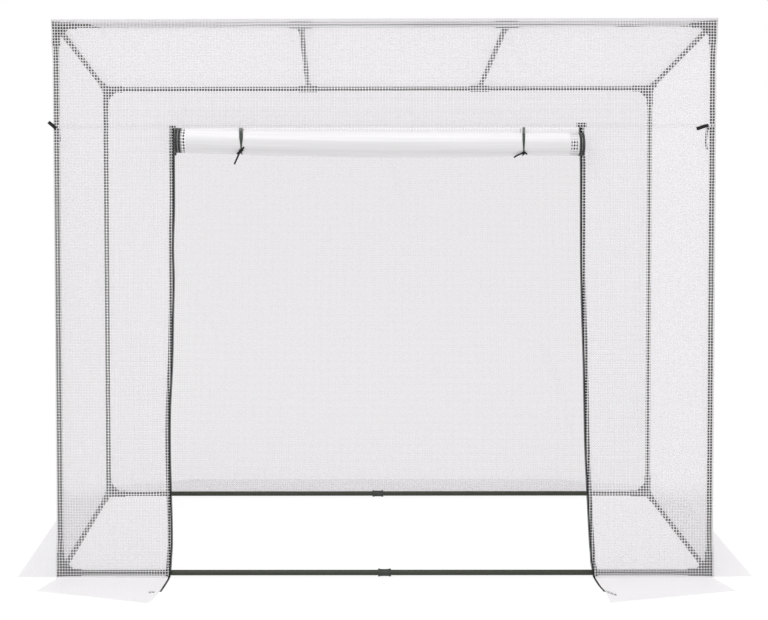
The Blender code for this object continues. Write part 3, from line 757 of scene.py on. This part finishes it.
SEAM_TURN, SEAM_CELL = 0.010, 0.02
DROOP_WAVE = 0.002
ROOF_DROOP = ((-0.99, 0.008), (-0.89, 0.011), (-0.83, 0.026), (-0.48, 0.026), (0.10, 0.0245), (0.66, 0.026),
              (0.72, 0.022), (0.78, 0.026), (0.88, 0.025), (0.93, 0.010), (0.99, 0.008))
NET_SLIP = ((-0.99, 0.5), (-0.50, 0.5), (-0.36, 0.26), (0.0, 0.22), (0.12, 0.12), (0.36, 0.18), (0.60, 0.3),
            (0.66, 0.48), (0.72, 0.25), (0.79, 0.5), (0.99, 0.5))
PROUD = 0.0007


def seam_strip(name, length, width, place, cut=lambda point: (point.x, point.z)):
    """A doubled edge. place() takes metres along and across it, and cut() finds where its net lines up."""
    def lay(across, along):
        point = place(length * along, width * across)
        return cut(point), point

    finish_film(laid(name, 3, max(4, round(length / SEAM_CELL)), lay), "frame")


def roof_turn_width(x):
    """In front the turned edge droops between the corners, and hides the tube where it droops most."""
    return between(ROOF_DROOP, x) + DROOP_WAVE * noise.noise(Vector((x * 3, 0, 5)))


def roof_turn(u, share):
    """The front seam's turned edge, by metres from its right end and by the share of its width."""
    x = HALF_WIDTH - u
    return header_place(x, header_top - roof_turn_width(x) * (1 - share), PROUD)


def slipped_cut(point):
    slip = NET_PITCH * between(NET_SLIP, point.x)
    return point.x + slip, point.z + slip


seam_strip("header_hem", 2 * HALF_WIDTH, SEAM_TURN,
           lambda u, v: header_place(HALF_WIDTH - u, SEAM_Z + v, PROUD))
seam_strip("roof_front_turn", 2 * HALF_WIDTH, 1, roof_turn, slipped_cut)
seam_strip("roof_rear_turn", 2 * HALF_WIDTH, SEAM_TURN,
           lambda u, v: back_place(u - HALF_WIDTH, back_top - SEAM_TURN + v, PROUD))
for side, sign in (("left", -1), ("right", 1)):
    def roof_side(u, v):
        y = sign * (side_end - u)
        z = roof_height(y) - UNDER_ROOF - SEAM_TURN + v
        return Vector((sign * (wall_x + PROUD - drawn_in(y, z)), y, z))

    def corner_cut(point):
        return point.x + sign * (HALF_DEPTH - abs(point.y) + drawn_in(point.y, point.z)), point.z

    seam_strip(f"roof_{side}_turn", 2 * side_end, SEAM_TURN, roof_side, lambda point: (point.y, point.z))
    for row, end, top in (("front", -1, header_top), ("rear", 1, back_top)):
        def corner_turn(u, v):
            inset = sign * end * (v - SEAM_TURN / 2)
            drawn = drawn_in(end * HALF_DEPTH, HEM_Z + u)
            x = sign * (HALF_WIDTH + PROUD / 2 - max(inset, 0) - drawn)
            y = end * (HALF_DEPTH + PROUD / 2 - max(-inset, 0))
            return Vector((x, y, HEM_Z + u))

        seam_strip(f"{row}_{side}_corner_turn", top - HEM_Z - 0.001, SEAM_TURN, corner_turn, corner_cut)


# Skirts: plain strips of the same film, sewn to the foot of each wall. They lie out on the ground and
# are held down with earth. Each bends up at its seam.

UP = Vector((0, 0, 1))
HINGE_RISE, HINGE_OUT = 0.006, 0.0004
SKIRT_END, CORNER_FLARE, CORNER_REACH, FRONT_REACH, SIDE_REACH = 0.006, 0.040, 0.105, 0.190, 0.120
REAR_TAPER = 0.28
ON_GROUND = FILM / 2
SKIRT_ROWS = 14
UNREST, UNREST_FROM, UNREST_FADE = 0.0011, 0.03, 0.05
TUCK_RISE, TUCK_SPREAD = 0.0013, 0.03
TUCKED_END = {"left": ((-0.676, 0.106), (-0.694, 0.113)), "right": ((0.6425, 0.102), (0.6690, 0.133))}
ZIP_TAIL = {
    "left": ((0, -0.6500), (0.035, -0.6525), (0.07, -0.6562), (0.107, -0.6608), (0.150, -0.667),
             (0.195, -0.684)),
    "right": ((0, 0.6312), (0.025, 0.6322), (0.055, 0.6335), (0.080, 0.6360), (0.102, 0.6394),
              (0.150, 0.6385), (0.195, 0.6380)),
}


def skirt_profile(away):
    """Distance out and height, from a short rise on the wall, round a bend, and out on the ground."""
    quarter = HINGE_RISE * pi / 2
    if away < quarter:
        angle = away / HINGE_RISE
        return HINGE_RISE * (1 - cos(angle)), HINGE_RISE * (1 - sin(angle)) + ON_GROUND
    return away - quarter + HINGE_RISE, ON_GROUND


def bend_up(piece):
    """Works the piece's place and turn into its mesh. Its shape already bends from its wall onto a flap,
    round the seam at the wall's foot.
    """
    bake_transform(piece)


def skirt(node, foot, out, ends, reach, seed, flat, area, tuck=None):
    """ends gives both ends' places along the wall at a distance out, and reach the flap's depth along it.
    The film rises a little over tuck, where the end of a zip lies under it."""
    out = Vector(out)
    along = out.cross(UP)

    def lay(across, away):
        depth = reach(across) * away
        low, high = ends(depth)
        place = low + (high - low) * across
        gone, height = skirt_profile(depth)
        uneven = 1 + noise.noise(Vector((place * 9, depth * 14, seed)))
        height += UNREST * eased((depth - UNREST_FROM) / UNREST_FADE) * uneven
        if tuck:
            off = (place - tuck[0]) ** 2 + (depth - tuck[1]) ** 2
            height += TUCK_RISE * exp(-off / TUCK_SPREAD ** 2)
        on_floor = Vector(foot) + out * (gone + HINGE_OUT + ON_GROUND) + along * place
        return (place, depth), on_floor + UP * height

    width = max(high - low for low, high in (ends(0), ends(0.1)))
    piece = laid(f"{node}_film", steps(width), SKIRT_ROWS, lay)
    finish_film(piece, None, node, flat=flat, area=area)
    bend_up(piece)


def flare(depth):
    return HALF_WIDTH - SKIRT_END + CORNER_FLARE * min(depth / CORNER_REACH, 1)


for side, sign, seed in (("left", -1, 5), ("right", 1, 15)):
    def front_ends(depth):
        return sorted((-sign * flare(depth), -between(ZIP_TAIL[side], depth) - sign * FILM_EDGE))

    def front_reach(across):
        outer_share = across if side == "left" else 1 - across
        return FRONT_REACH + (CORNER_REACH - FRONT_REACH) * outer_share

    width = flare(CORNER_REACH) - abs(ZIP_TAIL[side][0][1])
    (near_x, near_depth), (far_x, far_depth) = TUCKED_END[side]
    skirt(f"front_{side}_skirt", (0, -HALF_DEPTH, 0), (0, -1, 0), front_ends,
          front_reach, seed, (width, FRONT_REACH), width * (FRONT_REACH + CORNER_REACH) / 2,
          tuck=(-(near_x + far_x) / 2, (near_depth + far_depth) / 2))


def back_reach(across):
    inwards = min(across, 1 - across) * 2 * flare(CORNER_REACH)
    tapered = (FRONT_REACH - CORNER_REACH) * inwards / (REAR_TAPER + CORNER_FLARE)
    return min(FRONT_REACH, CORNER_REACH + tapered)


width = 2 * flare(CORNER_REACH)
skirt("back_skirt", (0, HALF_DEPTH, 0), (0, 1, 0), lambda depth: (-flare(depth), flare(depth)),
      back_reach, 25, (width, FRONT_REACH), width * FRONT_REACH - REAR_TAPER * (FRONT_REACH - CORNER_REACH))
side_run = HALF_DEPTH - SKIRT_END
for side, sign, seed in (("left", -1, 35), ("right", 1, 45)):
    skirt(f"{side}_side_skirt", (sign * HALF_WIDTH, 0, 0), (sign, 0, 0),
          lambda depth: (-side_run, side_run), lambda across: SIDE_REACH, seed,
          (2 * side_run, SIDE_REACH), 2 * side_run * SIDE_REACH)


# Zips: black woven tape with a nylon coil on its doorway edge, sewn behind the film's edge. The film
# hides part of the tape, which shows through it as dots. Below, each zip runs on along its skirt.

ZIP_Y = -0.3838
ZIP_TAPE = 0.0008
COIL_EDGE, COIL_WIDTH = ZIP_SHOWN / 2, 0.0024
COIL_THICK, COIL_THIN = 0.00115, 0.0009
COIL_PITCH = 0.0026
ZIP_FOOT = HEM_Z + 0.0012
TAIL_LENGTH, TAIL_LIFT = 0.108, 0.0002
TUCKED_WIDTH = 0.008
OVER_SEAM, TOP_END_LEAN = SEAM_Z + 0.0002, 0.0005
ZIP_TOP_END = {"left": (-0.6400, -0.6220, 1.3640), "right": (0.5720, 0.6020, 1.3690)}


def woven_black(name, colour, sheen_colour, weave, roughness, **more):
    """Woven tape: fine ribs along it, in the sheet's own flat metres, and a dull sheen."""
    made, start = material(name, colour, roughness, **more)
    flat = start.flat()
    parts = start.node("SeparateXYZ", {0: flat})
    across = start.math("SINE", parts * (tau / weave))
    along = start.math("SINE", parts.other(1) * (tau / weave))
    cloud = start.noise(flat, 160, 3)
    start.tone(cloud, (*colour, 1), (*sheen_colour, 1)).feed("Base Color")
    start.bump(across * along, 0.5, 0.0002).feed("Normal")
    return made


matt_cloth = woven_black("matt_cloth", (0.005, 0.005, 0.005), (0.012, 0.013, 0.012), 0.0012, 0.65,
                         Specular_IOR_Level=0.25)
zip_cloth = woven_black("zip_cloth", (0.007, 0.007, 0.007), (0.018, 0.021, 0.018), 0.0012, 0.40)
coil_nylon, start = material("coil_nylon", (0.008, 0.008, 0.008), 0.34)
(start.noise(start.place(), 90, 3) * 0.2 + 0.25).feed("Roughness")


def route(points):
    """A smooth line through points, as a function of the share of the way along it."""
    points = [Vector(point) for point in points]
    marks = [0]
    for first, second in zip(points, points[1:]):
        marks.append(marks[-1] + (second - first).length)
    lines = [tuple(zip(marks, (point[axis] for point in points))) for axis in range(3)]
    return lambda share: Vector([between(line, share * marks[-1]) for line in lines]), marks[-1]


def coil(name, points, body="frame"):
    """A zip's coil along a line: a ribbed nylon round, closed at both ends."""
    line, length = route(points)
    ribs = max(6, round(length / COIL_PITCH) * 2)
    piece = fresh(name, bpy.ops.mesh.primitive_grid_add, x_subdivisions=8, y_subdivisions=ribs, size=1)
    for vertex in piece.data.vertices:
        share = vertex.co.y + 0.5
        step = min(max(share, 1 / ribs), 1 - 1 / ribs)
        run = (line(step + 1 / ribs) - line(step - 1 / ribs)).normalized()
        over = Vector((0, 0.35, 1)) if abs(run.z) < 0.5 else Vector((0, 1, 0))
        side_way = run.cross(over).normalized()
        lift = side_way.cross(run)
        radius = COIL_THICK if round(share * ribs) % 2 else COIL_THIN
        turn = (vertex.co.x + 0.5) * tau
        vertex.co = line(share) + radius * (cos(turn) * side_way + sin(turn) * lift)
    edit_all()
    bpy.ops.mesh.remove_doubles(threshold=0.00001)
    bpy.ops.mesh.fill_holes(sides=12)
    face_out()
    bpy.ops.object.shade_smooth_by_angle(angle=radians(60))
    return dress(piece, coil_nylon, body=body)


for side, sign in (("left", -1), ("right", 1)):
    def on_zip(from_door, z):
        return Vector((zip_x(side, z) + sign * (from_door - COIL_EDGE), ZIP_Y, z))

    def on_skirt(from_door, depth, lift=TAIL_LIFT):
        gone, height = skirt_profile(depth)
        x = between(ZIP_TAIL[side], depth) + sign * (from_door - COIL_EDGE)
        return Vector((x, -HALF_DEPTH - HINGE_OUT - ON_GROUND - gone, height + lift))

    edges = (COIL_WIDTH + 0.0002, ZIP_SHOWN + ZIP_HIDDEN + 0.0002)[::sign]
    tape = laid(f"{side}_zip_cloth", 4, 160, ruled(edges, (ZIP_FOOT, front_top), on_zip), ZIP_TAPE)
    dress(tape, matt_cloth, f"{side}_zip_tape")
    heights = [ZIP_FOOT + (front_top - ZIP_FOOT) * i / 60 for i in range(61)]
    coil(f"{side}_zip_coil", [on_zip(COIL_WIDTH / 2, z) for z in heights])

    edges = (COIL_WIDTH, COIL_EDGE + FILM_EDGE)[::-sign]
    tail = laid(f"{side}_zip_tail", 3, 30, ruled(edges, (0, TAIL_LENGTH), on_skirt), ZIP_TAPE / 2, 1)
    dress(tail, matt_cloth, body=None)
    tail_line = [on_skirt(COIL_WIDTH / 2, TAIL_LENGTH * i / 20, COIL_THICK) for i in range(21)]
    tail_coil = coil(f"{side}_zip_tail_coil", tail_line, None)
    for piece in (tail, tail_coil):
        bend_up(piece)

    near, far = (Vector((x, -HALF_DEPTH - depth, ZIP_TAPE / 2)) for x, depth in TUCKED_END[side])
    run = (far - near).normalized()
    edge = Vector((-run.y, run.x, 0))

    def under_skirt(aside, along):
        return near + run * along + edge * (TUCKED_WIDTH / 2 - aside)

    lay = ruled((0, TUCKED_WIDTH), (0, (far - near).length), under_skirt)
    tucked = laid(f"{side}_zip_tucked_end", 3, 10, lay, ZIP_TAPE / 2)
    dress(tucked, matt_cloth, body=f"front_{side}_flap")

    low_x, high_x, high_z = ZIP_TOP_END[side]

    def on_header(x, z):
        return Vector((x, ZIP_Y + TOP_END_LEAN * (z - OVER_SEAM) / (high_z - SEAM_Z), z))

    lay = ruled((low_x, high_x), (OVER_SEAM, high_z + OVER_SEAM - SEAM_Z), on_header)
    folded = laid(f"{side}_zip_top_end", 6, 4, lay, ZIP_TAPE / 2)
    dress(folded, matt_cloth)


# Zip sliders and pulls: small dark zinc castings with a worn gloss. Each slider runs on its zip's coil,
# and its pull swings on it. Their solids are shown as they are, in the metal's finish.

zinc, start = material("dark_zinc", (0.05, 0.05, 0.048), 0.35, Metallic=0.85)
cast = start.noise(start.place(), 700, 4)
(cast * 0.3 + 0.22).feed("Roughness")
start.tone(cast, (0.030, 0.030, 0.029, 1), (0.085, 0.085, 0.08, 1)).feed("Base Color")
for side in sides:
    for part in ("zip_slider", "zip_pull"):
        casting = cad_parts[f"{side}_{part}"]
        casting.data.materials.clear()
        casting.data.materials.append(zinc)


# Rolled door: one sheet of the same film. It hangs from the seam, passes behind the roll and winds
# round in more than six turns. The ties pinch it, and it sags and bulges a little between them.

ROLL_BACK_Y = -0.38665
DOOR_LEFT, DOOR_RIGHT = -0.617, 0.5775
WOUND_LENGTH = 1.256
TURNS = 6.636
TIE_X = {"left": -0.421, "right": 0.404}
ROLL_RADII = ((DOOR_LEFT, 0.0365), (-0.42, 0.0378), (0, 0.0396), (0.25, 0.0385), (0.404, 0.0362),
              (DOOR_RIGHT, 0.0340))
ROLL_MIDDLES = ((DOOR_LEFT, 1.3205), (-0.42, 1.3145), (0, 1.3080), (0.25, 1.3075), (0.404, 1.3080),
                (DOOR_RIGHT, 1.3075))
PINCH, PINCH_HALF = 0.0028, 0.018
DENT, FLATTENED, GROOVE, RIDGE = 0.0009, 0.0022, 0.0007, 0.0005
FLAT_ANGLE, FLAT_SPREAD = 2.95, 0.38
GROOVE_ANGLE, GROOVE_SPREAD = 3.42, 0.08
CLEAR_END = 0.034
# Greys by the angle round the roll's outer turn: painted light on its underside and a band of painted shade
# across its front.
ROLL_PAINTED_LIGHT_AND_SHADE = ((0, 1), (0.18, 1), (0.26, 0.62), (0.31, 0.10), (0.40, 0.10), (0.46, 0.46), (1, 0.46))
DOOR_TRAVEL = 1.262
CURTAIN_FOOT = 1.3225
CLEARS_SLIDER = 0.040


def roll_radius(x):
    pinch = sum(exp(-(((x - tie) / PINCH_HALF) ** 2)) for tie in TIE_X.values())
    return between(ROLL_RADII, x) - PINCH * pinch


def on_roll(x, angle, out=0):
    """A point on the roll's outer turn, or out from it. Angle 0 is its back, and angles grow downwards."""
    radius = roll_radius(x)
    dent = noise.noise(Vector((x * 2.4, cos(angle) * 1.1, sin(angle) * 1.1 + 7)))
    turned_to = angle % tau - 0.10 * sin(x * 3.1)
    flattened = exp(-((turned_to - FLAT_ANGLE) / FLAT_SPREAD) ** 2)
    groove = exp(-((turned_to - GROOVE_ANGLE) / GROOVE_SPREAD) ** 2)
    ridge = noise.noise(Vector((x * 1.3, angle % tau * 3.2, 4)))
    in_front = eased((1 - cos(angle)) * 2)
    shape = (DENT * dent - FLATTENED * flattened - GROOVE * groove + RIDGE * ridge) * in_front
    reach = radius + out + shape
    y = ROLL_BACK_Y - radius + reach * cos(angle)
    return Vector((x, y, between(ROLL_MIDDLES, x) - reach * sin(angle)))


def wound_in(x, angle):
    """How far the spiral has drawn in by an angle. As much film is wound up at every place across."""
    pitch = 2 * (roll_radius(x) * TURNS - WOUND_LENGTH / tau) / TURNS ** 2
    return pitch * angle / tau


def on_spiral(x, wound):
    angle = TURNS * tau * wound / WOUND_LENGTH
    return on_roll(x, angle, -wound_in(x, angle))


def layered_film():
    """Many turns seen as one: milky film, with its threads blurred into streaks along the roll, painted
    light on its underside and a band of painted shade across its front.
    """
    made, start = material("layered_film", (0.82, 0.808, 0.82), 0.42, Specular_IOR_Level=0.35)
    flat = start.flat()
    drawn_out = start.node("Mapping", {"Vector": flat, "Scale": (2.2, 150, 1)})
    streaks = start.noise(drawn_out, 1, 4, Roughness=0.6)
    net = start.math("MAXIMUM", *thread_net(start, flat))
    wound = start.node("SeparateXYZ", {0: flat}, 1)
    # Painted light and shade by the angle round the roll: paler underneath, a darker band across the front.
    painted_greys = [(place, (level, level, level, 1)) for place, level in ROLL_PAINTED_LIGHT_AND_SHADE]
    painted_light_and_shade = start.node("ValToRGB", {0: wound * 4}, stops=painted_greys)
    shade = streaks * 0.92 + net * 0.08 + painted_light_and_shade - 0.5
    start.tone(shade, (0.645, 0.634, 0.645, 1), (0.86, 0.848, 0.86, 1)).feed("Base Color")
    start.bump(streaks, 0.4, 0.0006).feed("Normal")
    return made


wound_film = netted_film("wound_film", CLEAR_CELLS, CLEAR_THREADS, 0.0)
door = laid("door_film", 72, 300, ruled((DOOR_LEFT, DOOR_RIGHT), (0, WOUND_LENGTH), on_spiral))
dress(door, wound_film, "door_roll", "door")
door.data.materials.append(layered_film())
for face in door.data.polygons:
    if DOOR_LEFT + CLEAR_END < face.center.x < DOOR_RIGHT - CLEAR_END:
        face.material_index = 1


def lay_curtain(across, down):
    """The stretch behind the roll. Its net, and its step out past the sliders, are spaced for the door let
    down."""
    x = DOOR_RIGHT + (DOOR_LEFT - DOOR_RIGHT) * across
    foot = between(ROLL_MIDDLES, x) + SEWN_GAP
    hung = (front_top - foot) * down ** 1.6
    let_down = hung + DOOR_TRAVEL * eased(hung / (front_top - CURTAIN_FOOT))
    y = -wall_y + (ROLL_BACK_Y + wall_y) * eased(let_down / CLEARS_SLIDER)
    return (x, let_down), Vector((x, y, front_top - hung))


curtain = laid("door_curtain_film", 60, 26, lay_curtain)
dress(curtain, wound_film, "door_curtain", None)
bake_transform(curtain)

OVER_FILM = 0.0009
WOUND_ZIP = {
    "left": (
        ("outer", -0.6142, -0.6078, OVER_FILM, 14, 378),
        ("inner", -0.6063, -0.5990, OVER_FILM, 14, 378),
        ("under", -0.5960, -0.5860, -OVER_FILM, 128, 226),
    ),
    "right": (
        ("outer", 0.5777, 0.5828, OVER_FILM, 14, 378),
        ("inner", 0.5692, 0.5768, OVER_FILM, 14, 378),
        ("under", 0.5440, 0.5630, -OVER_FILM, 152, 204),
    ),
}
COIL_AT = {"left": -0.6154, "right": 0.5840}
for side, bands in WOUND_ZIP.items():
    for band, low_x, high_x, out, first, last in bands:
        def lay_band(across, around):
            x = low_x + (high_x - low_x) * across
            angle = radians(first + (last - first) * around)
            return (x, angle * roll_radius(x)), on_roll(x, angle, out - wound_in(x, angle))

        band_strip = laid(f"{side}_wound_zip_{band}", 4, 64, lay_band, ZIP_TAPE / 2)
        dress(band_strip, zip_cloth, body="door")
    x = COIL_AT[side]
    angles = [radians(14 + 332 * i / 48) for i in range(49)]
    line = [on_roll(x, angle, OVER_FILM - wound_in(x, angle)) for angle in angles]
    coil(f"{side}_wound_zip_coil", line, "door")


# Door ties: dark green polypropylene tape. Each hangs from the seam over the front of the roll, where it
# is knotted to its other end, which comes up bunched behind the door. Loose ends hang from the knot.

TAPE_WIDTH, TAPE = 0.010, 0.0008
TAPE_CELL = 0.003
TIES = {
    "left": {"sewn": -0.4273, "knot": (-0.421, 142), "width": 0.0112},
    "right": {"sewn": 0.4148, "knot": (0.406, 136), "width": 0.0078},
}
TIE_BACK = ((-0.3852, 1.330), (-0.3838, SEAM_Z - 0.003))
OVER_ROLL, KNOT_OUT = 0.0011, 0.0040
BUNCHED = 0.0042
TAIL_WIDTH = 0.0048
KNOT_SIZE = (0.014, 0.008, 0.010)
KNOT_POINTS, KNOT_CORD = 60, 0.82
KNOT_SPAN, KNOT_DEPTH = 7.4, 3.8
webbing = woven_black("tie_webbing", (0.010, 0.018, 0.012), (0.026, 0.042, 0.030), 0.0011, 0.40,
                      Sheen_Weight=0.4, Sheen_Roughness=0.35)
# The knots and the frame ties' loops are the same tape as the straps, in a darker copy of its colour:
# painted shade.
painted_shade_webbing, start = material("painted_shade_webbing", (0.006, 0.010, 0.006), 0.6, Specular_IOR_Level=0.3)
fibres = start.noise(start.place(), 900, 3)
start.tone(fibres, (0.004, 0.007, 0.004, 1), (0.015, 0.022, 0.015, 1)).feed("Base Color")
start.bump(fibres, 0.5, 0.0003).feed("Normal")


def ribbon(name, points, width, across, twist=(0, 0, 0), curl=0.0, narrowed=lambda share: 1, cloth=webbing,
           node=None):
    """A length of tape through points. across is its width's direction, which twist changes along it."""
    line, length = route(points)

    def lay(aside, along):
        run = (line(min(along + 0.01, 1)) - line(max(along - 0.01, 0))).normalized()
        way = (across + Vector(twist) * along).normalized()
        off = aside - 0.5
        spread = way * off * width * narrowed(along)
        bulge = way.cross(run) * curl * (4 * off * off - 0.5)
        return (aside * width, along * length), line(along) + spread + bulge

    piece = laid(name, 4, max(6, round(length / TAPE_CELL)), lay, TAPE)
    return dress(piece, cloth, node)


def knot(name, place, size, turn):
    """A pulled overhand knot: tape drawn small as a three-crossing loop."""
    bpy.ops.object.select_all(action="DESELECT")
    loop = bpy.data.curves.new(name, "CURVE")
    loop.dimensions = "3D"
    loop.bevel_depth = KNOT_CORD
    loop.bevel_resolution = 3
    spline = loop.splines.new("POLY")
    spline.points.add(KNOT_POINTS - 1)
    for i, point in enumerate(spline.points):
        t = tau * i / KNOT_POINTS
        x, y = sin(t) + 2 * sin(2 * t), cos(t) - 2 * cos(2 * t)
        point.co = (x, y, -1.1 * sin(3 * t), 1)
    spline.use_cyclic_u = True
    piece = bpy.data.objects.new(name, loop)
    bpy.context.scene.collection.objects.link(piece)
    piece.select_set(True)
    bpy.context.view_layer.objects.active = piece
    bpy.ops.object.convert(target="MESH")
    spread = Matrix.Diagonal((size[0] / KNOT_SPAN, size[2] / KNOT_SPAN, size[1] / KNOT_DEPTH, 1))
    piece.data.transform(Matrix.Translation(place) @ turn @ Matrix.Rotation(pi / 2, 4, "X") @ spread)
    bpy.ops.object.shade_smooth()
    # The knot takes the tape's darker copy: painted shade.
    return dress(piece, painted_shade_webbing)


ALONG_X = Vector((1, 0, 0))
TAILS = {
    "left": (
        ((0.002, 0, 0), (-0.006, -0.001, -0.010), (-0.013, 0, -0.025), (-0.020, 0.001, -0.040)),
        ((-0.003, 0, -0.001), (-0.008, -0.001, -0.006), (-0.0125, 0, -0.010)),
        ((0.002, 0, 0.002), (0.006, -0.001, 0.007), (0.0085, 0, 0.012)),
    ),
    "right": (
        ((-0.002, 0, 0), (-0.010, -0.001, -0.003), (-0.019, 0, -0.007), (-0.029, 0.002, -0.0135)),
        ((0.002, 0, 0), (0.006, -0.001, -0.001), (0.010, 0, -0.004)),
    ),
}
for side, tie in TIES.items():
    x, knot_degrees = tie["knot"]
    sewn, width = tie["sewn"], tie["width"]
    at = on_roll(x, radians(knot_degrees), KNOT_OUT)
    over = [Vector((sewn, -HALF_DEPTH - OVER_ROLL, SEAM_Z - 0.0002))]
    for degrees in range(262, 7, -12):
        point = on_roll(x, radians(degrees), OVER_ROLL)
        if degrees > knot_degrees:
            point.x += (sewn - x) * (point.y - at.y) / (-HALF_DEPTH - at.y)
        over.append(point)
    over += [(x, y, z) for y, z in TIE_BACK]
    strap = ribbon(f"{side}_tie_strap", over, width, ALONG_X, node=f"{side}_door_tie",
                   narrowed=lambda share: 1 - (1 - BUNCHED / width) * eased((share - 0.30) / 0.14))
    pieces = [strap, knot(f"{side}_tie_knot", at, KNOT_SIZE, Matrix.Rotation(radians(-20), 4, "X"))]
    for number, tail in enumerate(TAILS[side], 1):
        path = [at + Vector(point) + Vector((0, -0.001, 0)) for point in tail]
        lean = Vector(tail[-1]) - Vector(tail[0])
        across = Vector((-lean.z, 0.35 * lean.length, lean.x))
        tail_name = f"{side}_tie_tail_{number}"
        pieces.append(ribbon(tail_name, path, TAIL_WIDTH, across, curl=0.0010, cloth=matt_cloth))
    for piece in pieces:
        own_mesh(piece)


# Frame ties: a loop of the same tape round each upright, sewn to the cover. The knotted end hangs
# inside, and in front the sewn end shows as a short tab outside.

REAR_TIE_TOP = 1.356014
LOOP_BORE, LOOP_OUTSIDE = 0.0083, 0.0091
LOOP_KNOT = (0.012, 0.009, 0.010)
LOOSE_ENDS = (
    ("tail", 0.0075, ((0, 0, 0), (0.002, 0, 0.018), (0.004, 0, 0.040), (0.001, 0, 0.062))),
    ("short_tail", 0.0070, ((0.001, 0, 0), (0.003, 0.002, 0.014), (0.002, 0.004, 0.034))),
)
TABS = {
    "left": ((-0.9775, -0.38545, 1.3556), (-0.9835, -0.3863, 1.3605), (-0.9920, -0.3872, 1.3680),
             (-1.0000, -0.3868, 1.3745)),
    "right": ((0.9640, -0.38545, 1.3610), (0.9520, -0.3866, 1.3585), (0.9400, -0.3872, 1.3545),
              (0.9285, -0.3868, 1.3510)),
}
for row, y in rows.items():
    for side, x in sides.items():
        name = f"{row}_{side}"
        top = (SEAM_Z if row == "front" else REAR_TIE_TOP) - TAPE
        outwards, inboard = copysign(1, y), -copysign(1, x)
        section = [(0, LOOP_BORE), (0, LOOP_OUTSIDE), (TAPE_WIDTH, LOOP_OUTSIDE), (TAPE_WIDTH, LOOP_BORE)]
        ring = turned(f"{name}_loop", (x, y, top - TAPE_WIDTH), (0, 0, 1), section, hollow=True)
        # The loop takes the tape's darker copy: painted shade.
        dress(ring, painted_shade_webbing, f"{name}_frame_tie")

        away = Vector((inboard, 0, 0)) if name == "front_right" else Vector((0, -outwards, 0))
        aside = away.cross(UP)
        tied = Vector((x, y, top - TAPE_WIDTH / 2)) + away * (LOOP_OUTSIDE + 0.004)
        knot(f"{name}_loop_knot", tied, LOOP_KNOT, aside.to_track_quat("X", "Z").to_matrix().to_4x4())
        for end, width, bends in LOOSE_ENDS:
            path = [tied + away * out + aside * over - UP * down for out, over, down in bends]
            ribbon(f"{name}_{end}", path, width, aside + away * 0.3, twist=away * 0.5)
        strap_ends = (y + outwards * LOOP_OUTSIDE, outwards * (HALF_DEPTH - 0.001))
        strap = [(x, end_y, top - SEWN_GAP) for end_y in strap_ends]
        ribbon(f"{name}_sewn_strap", strap, TAPE_WIDTH, ALONG_X)
        if row == "front":
            lean = Vector(TABS[side][-1]) - Vector(TABS[side][0])
            upright = Vector((-lean.z, 0, lean.x))
            ribbon(f"{side}_tab", TABS[side], TAPE_WIDTH, upright, curl=0.0008, cloth=matt_cloth)
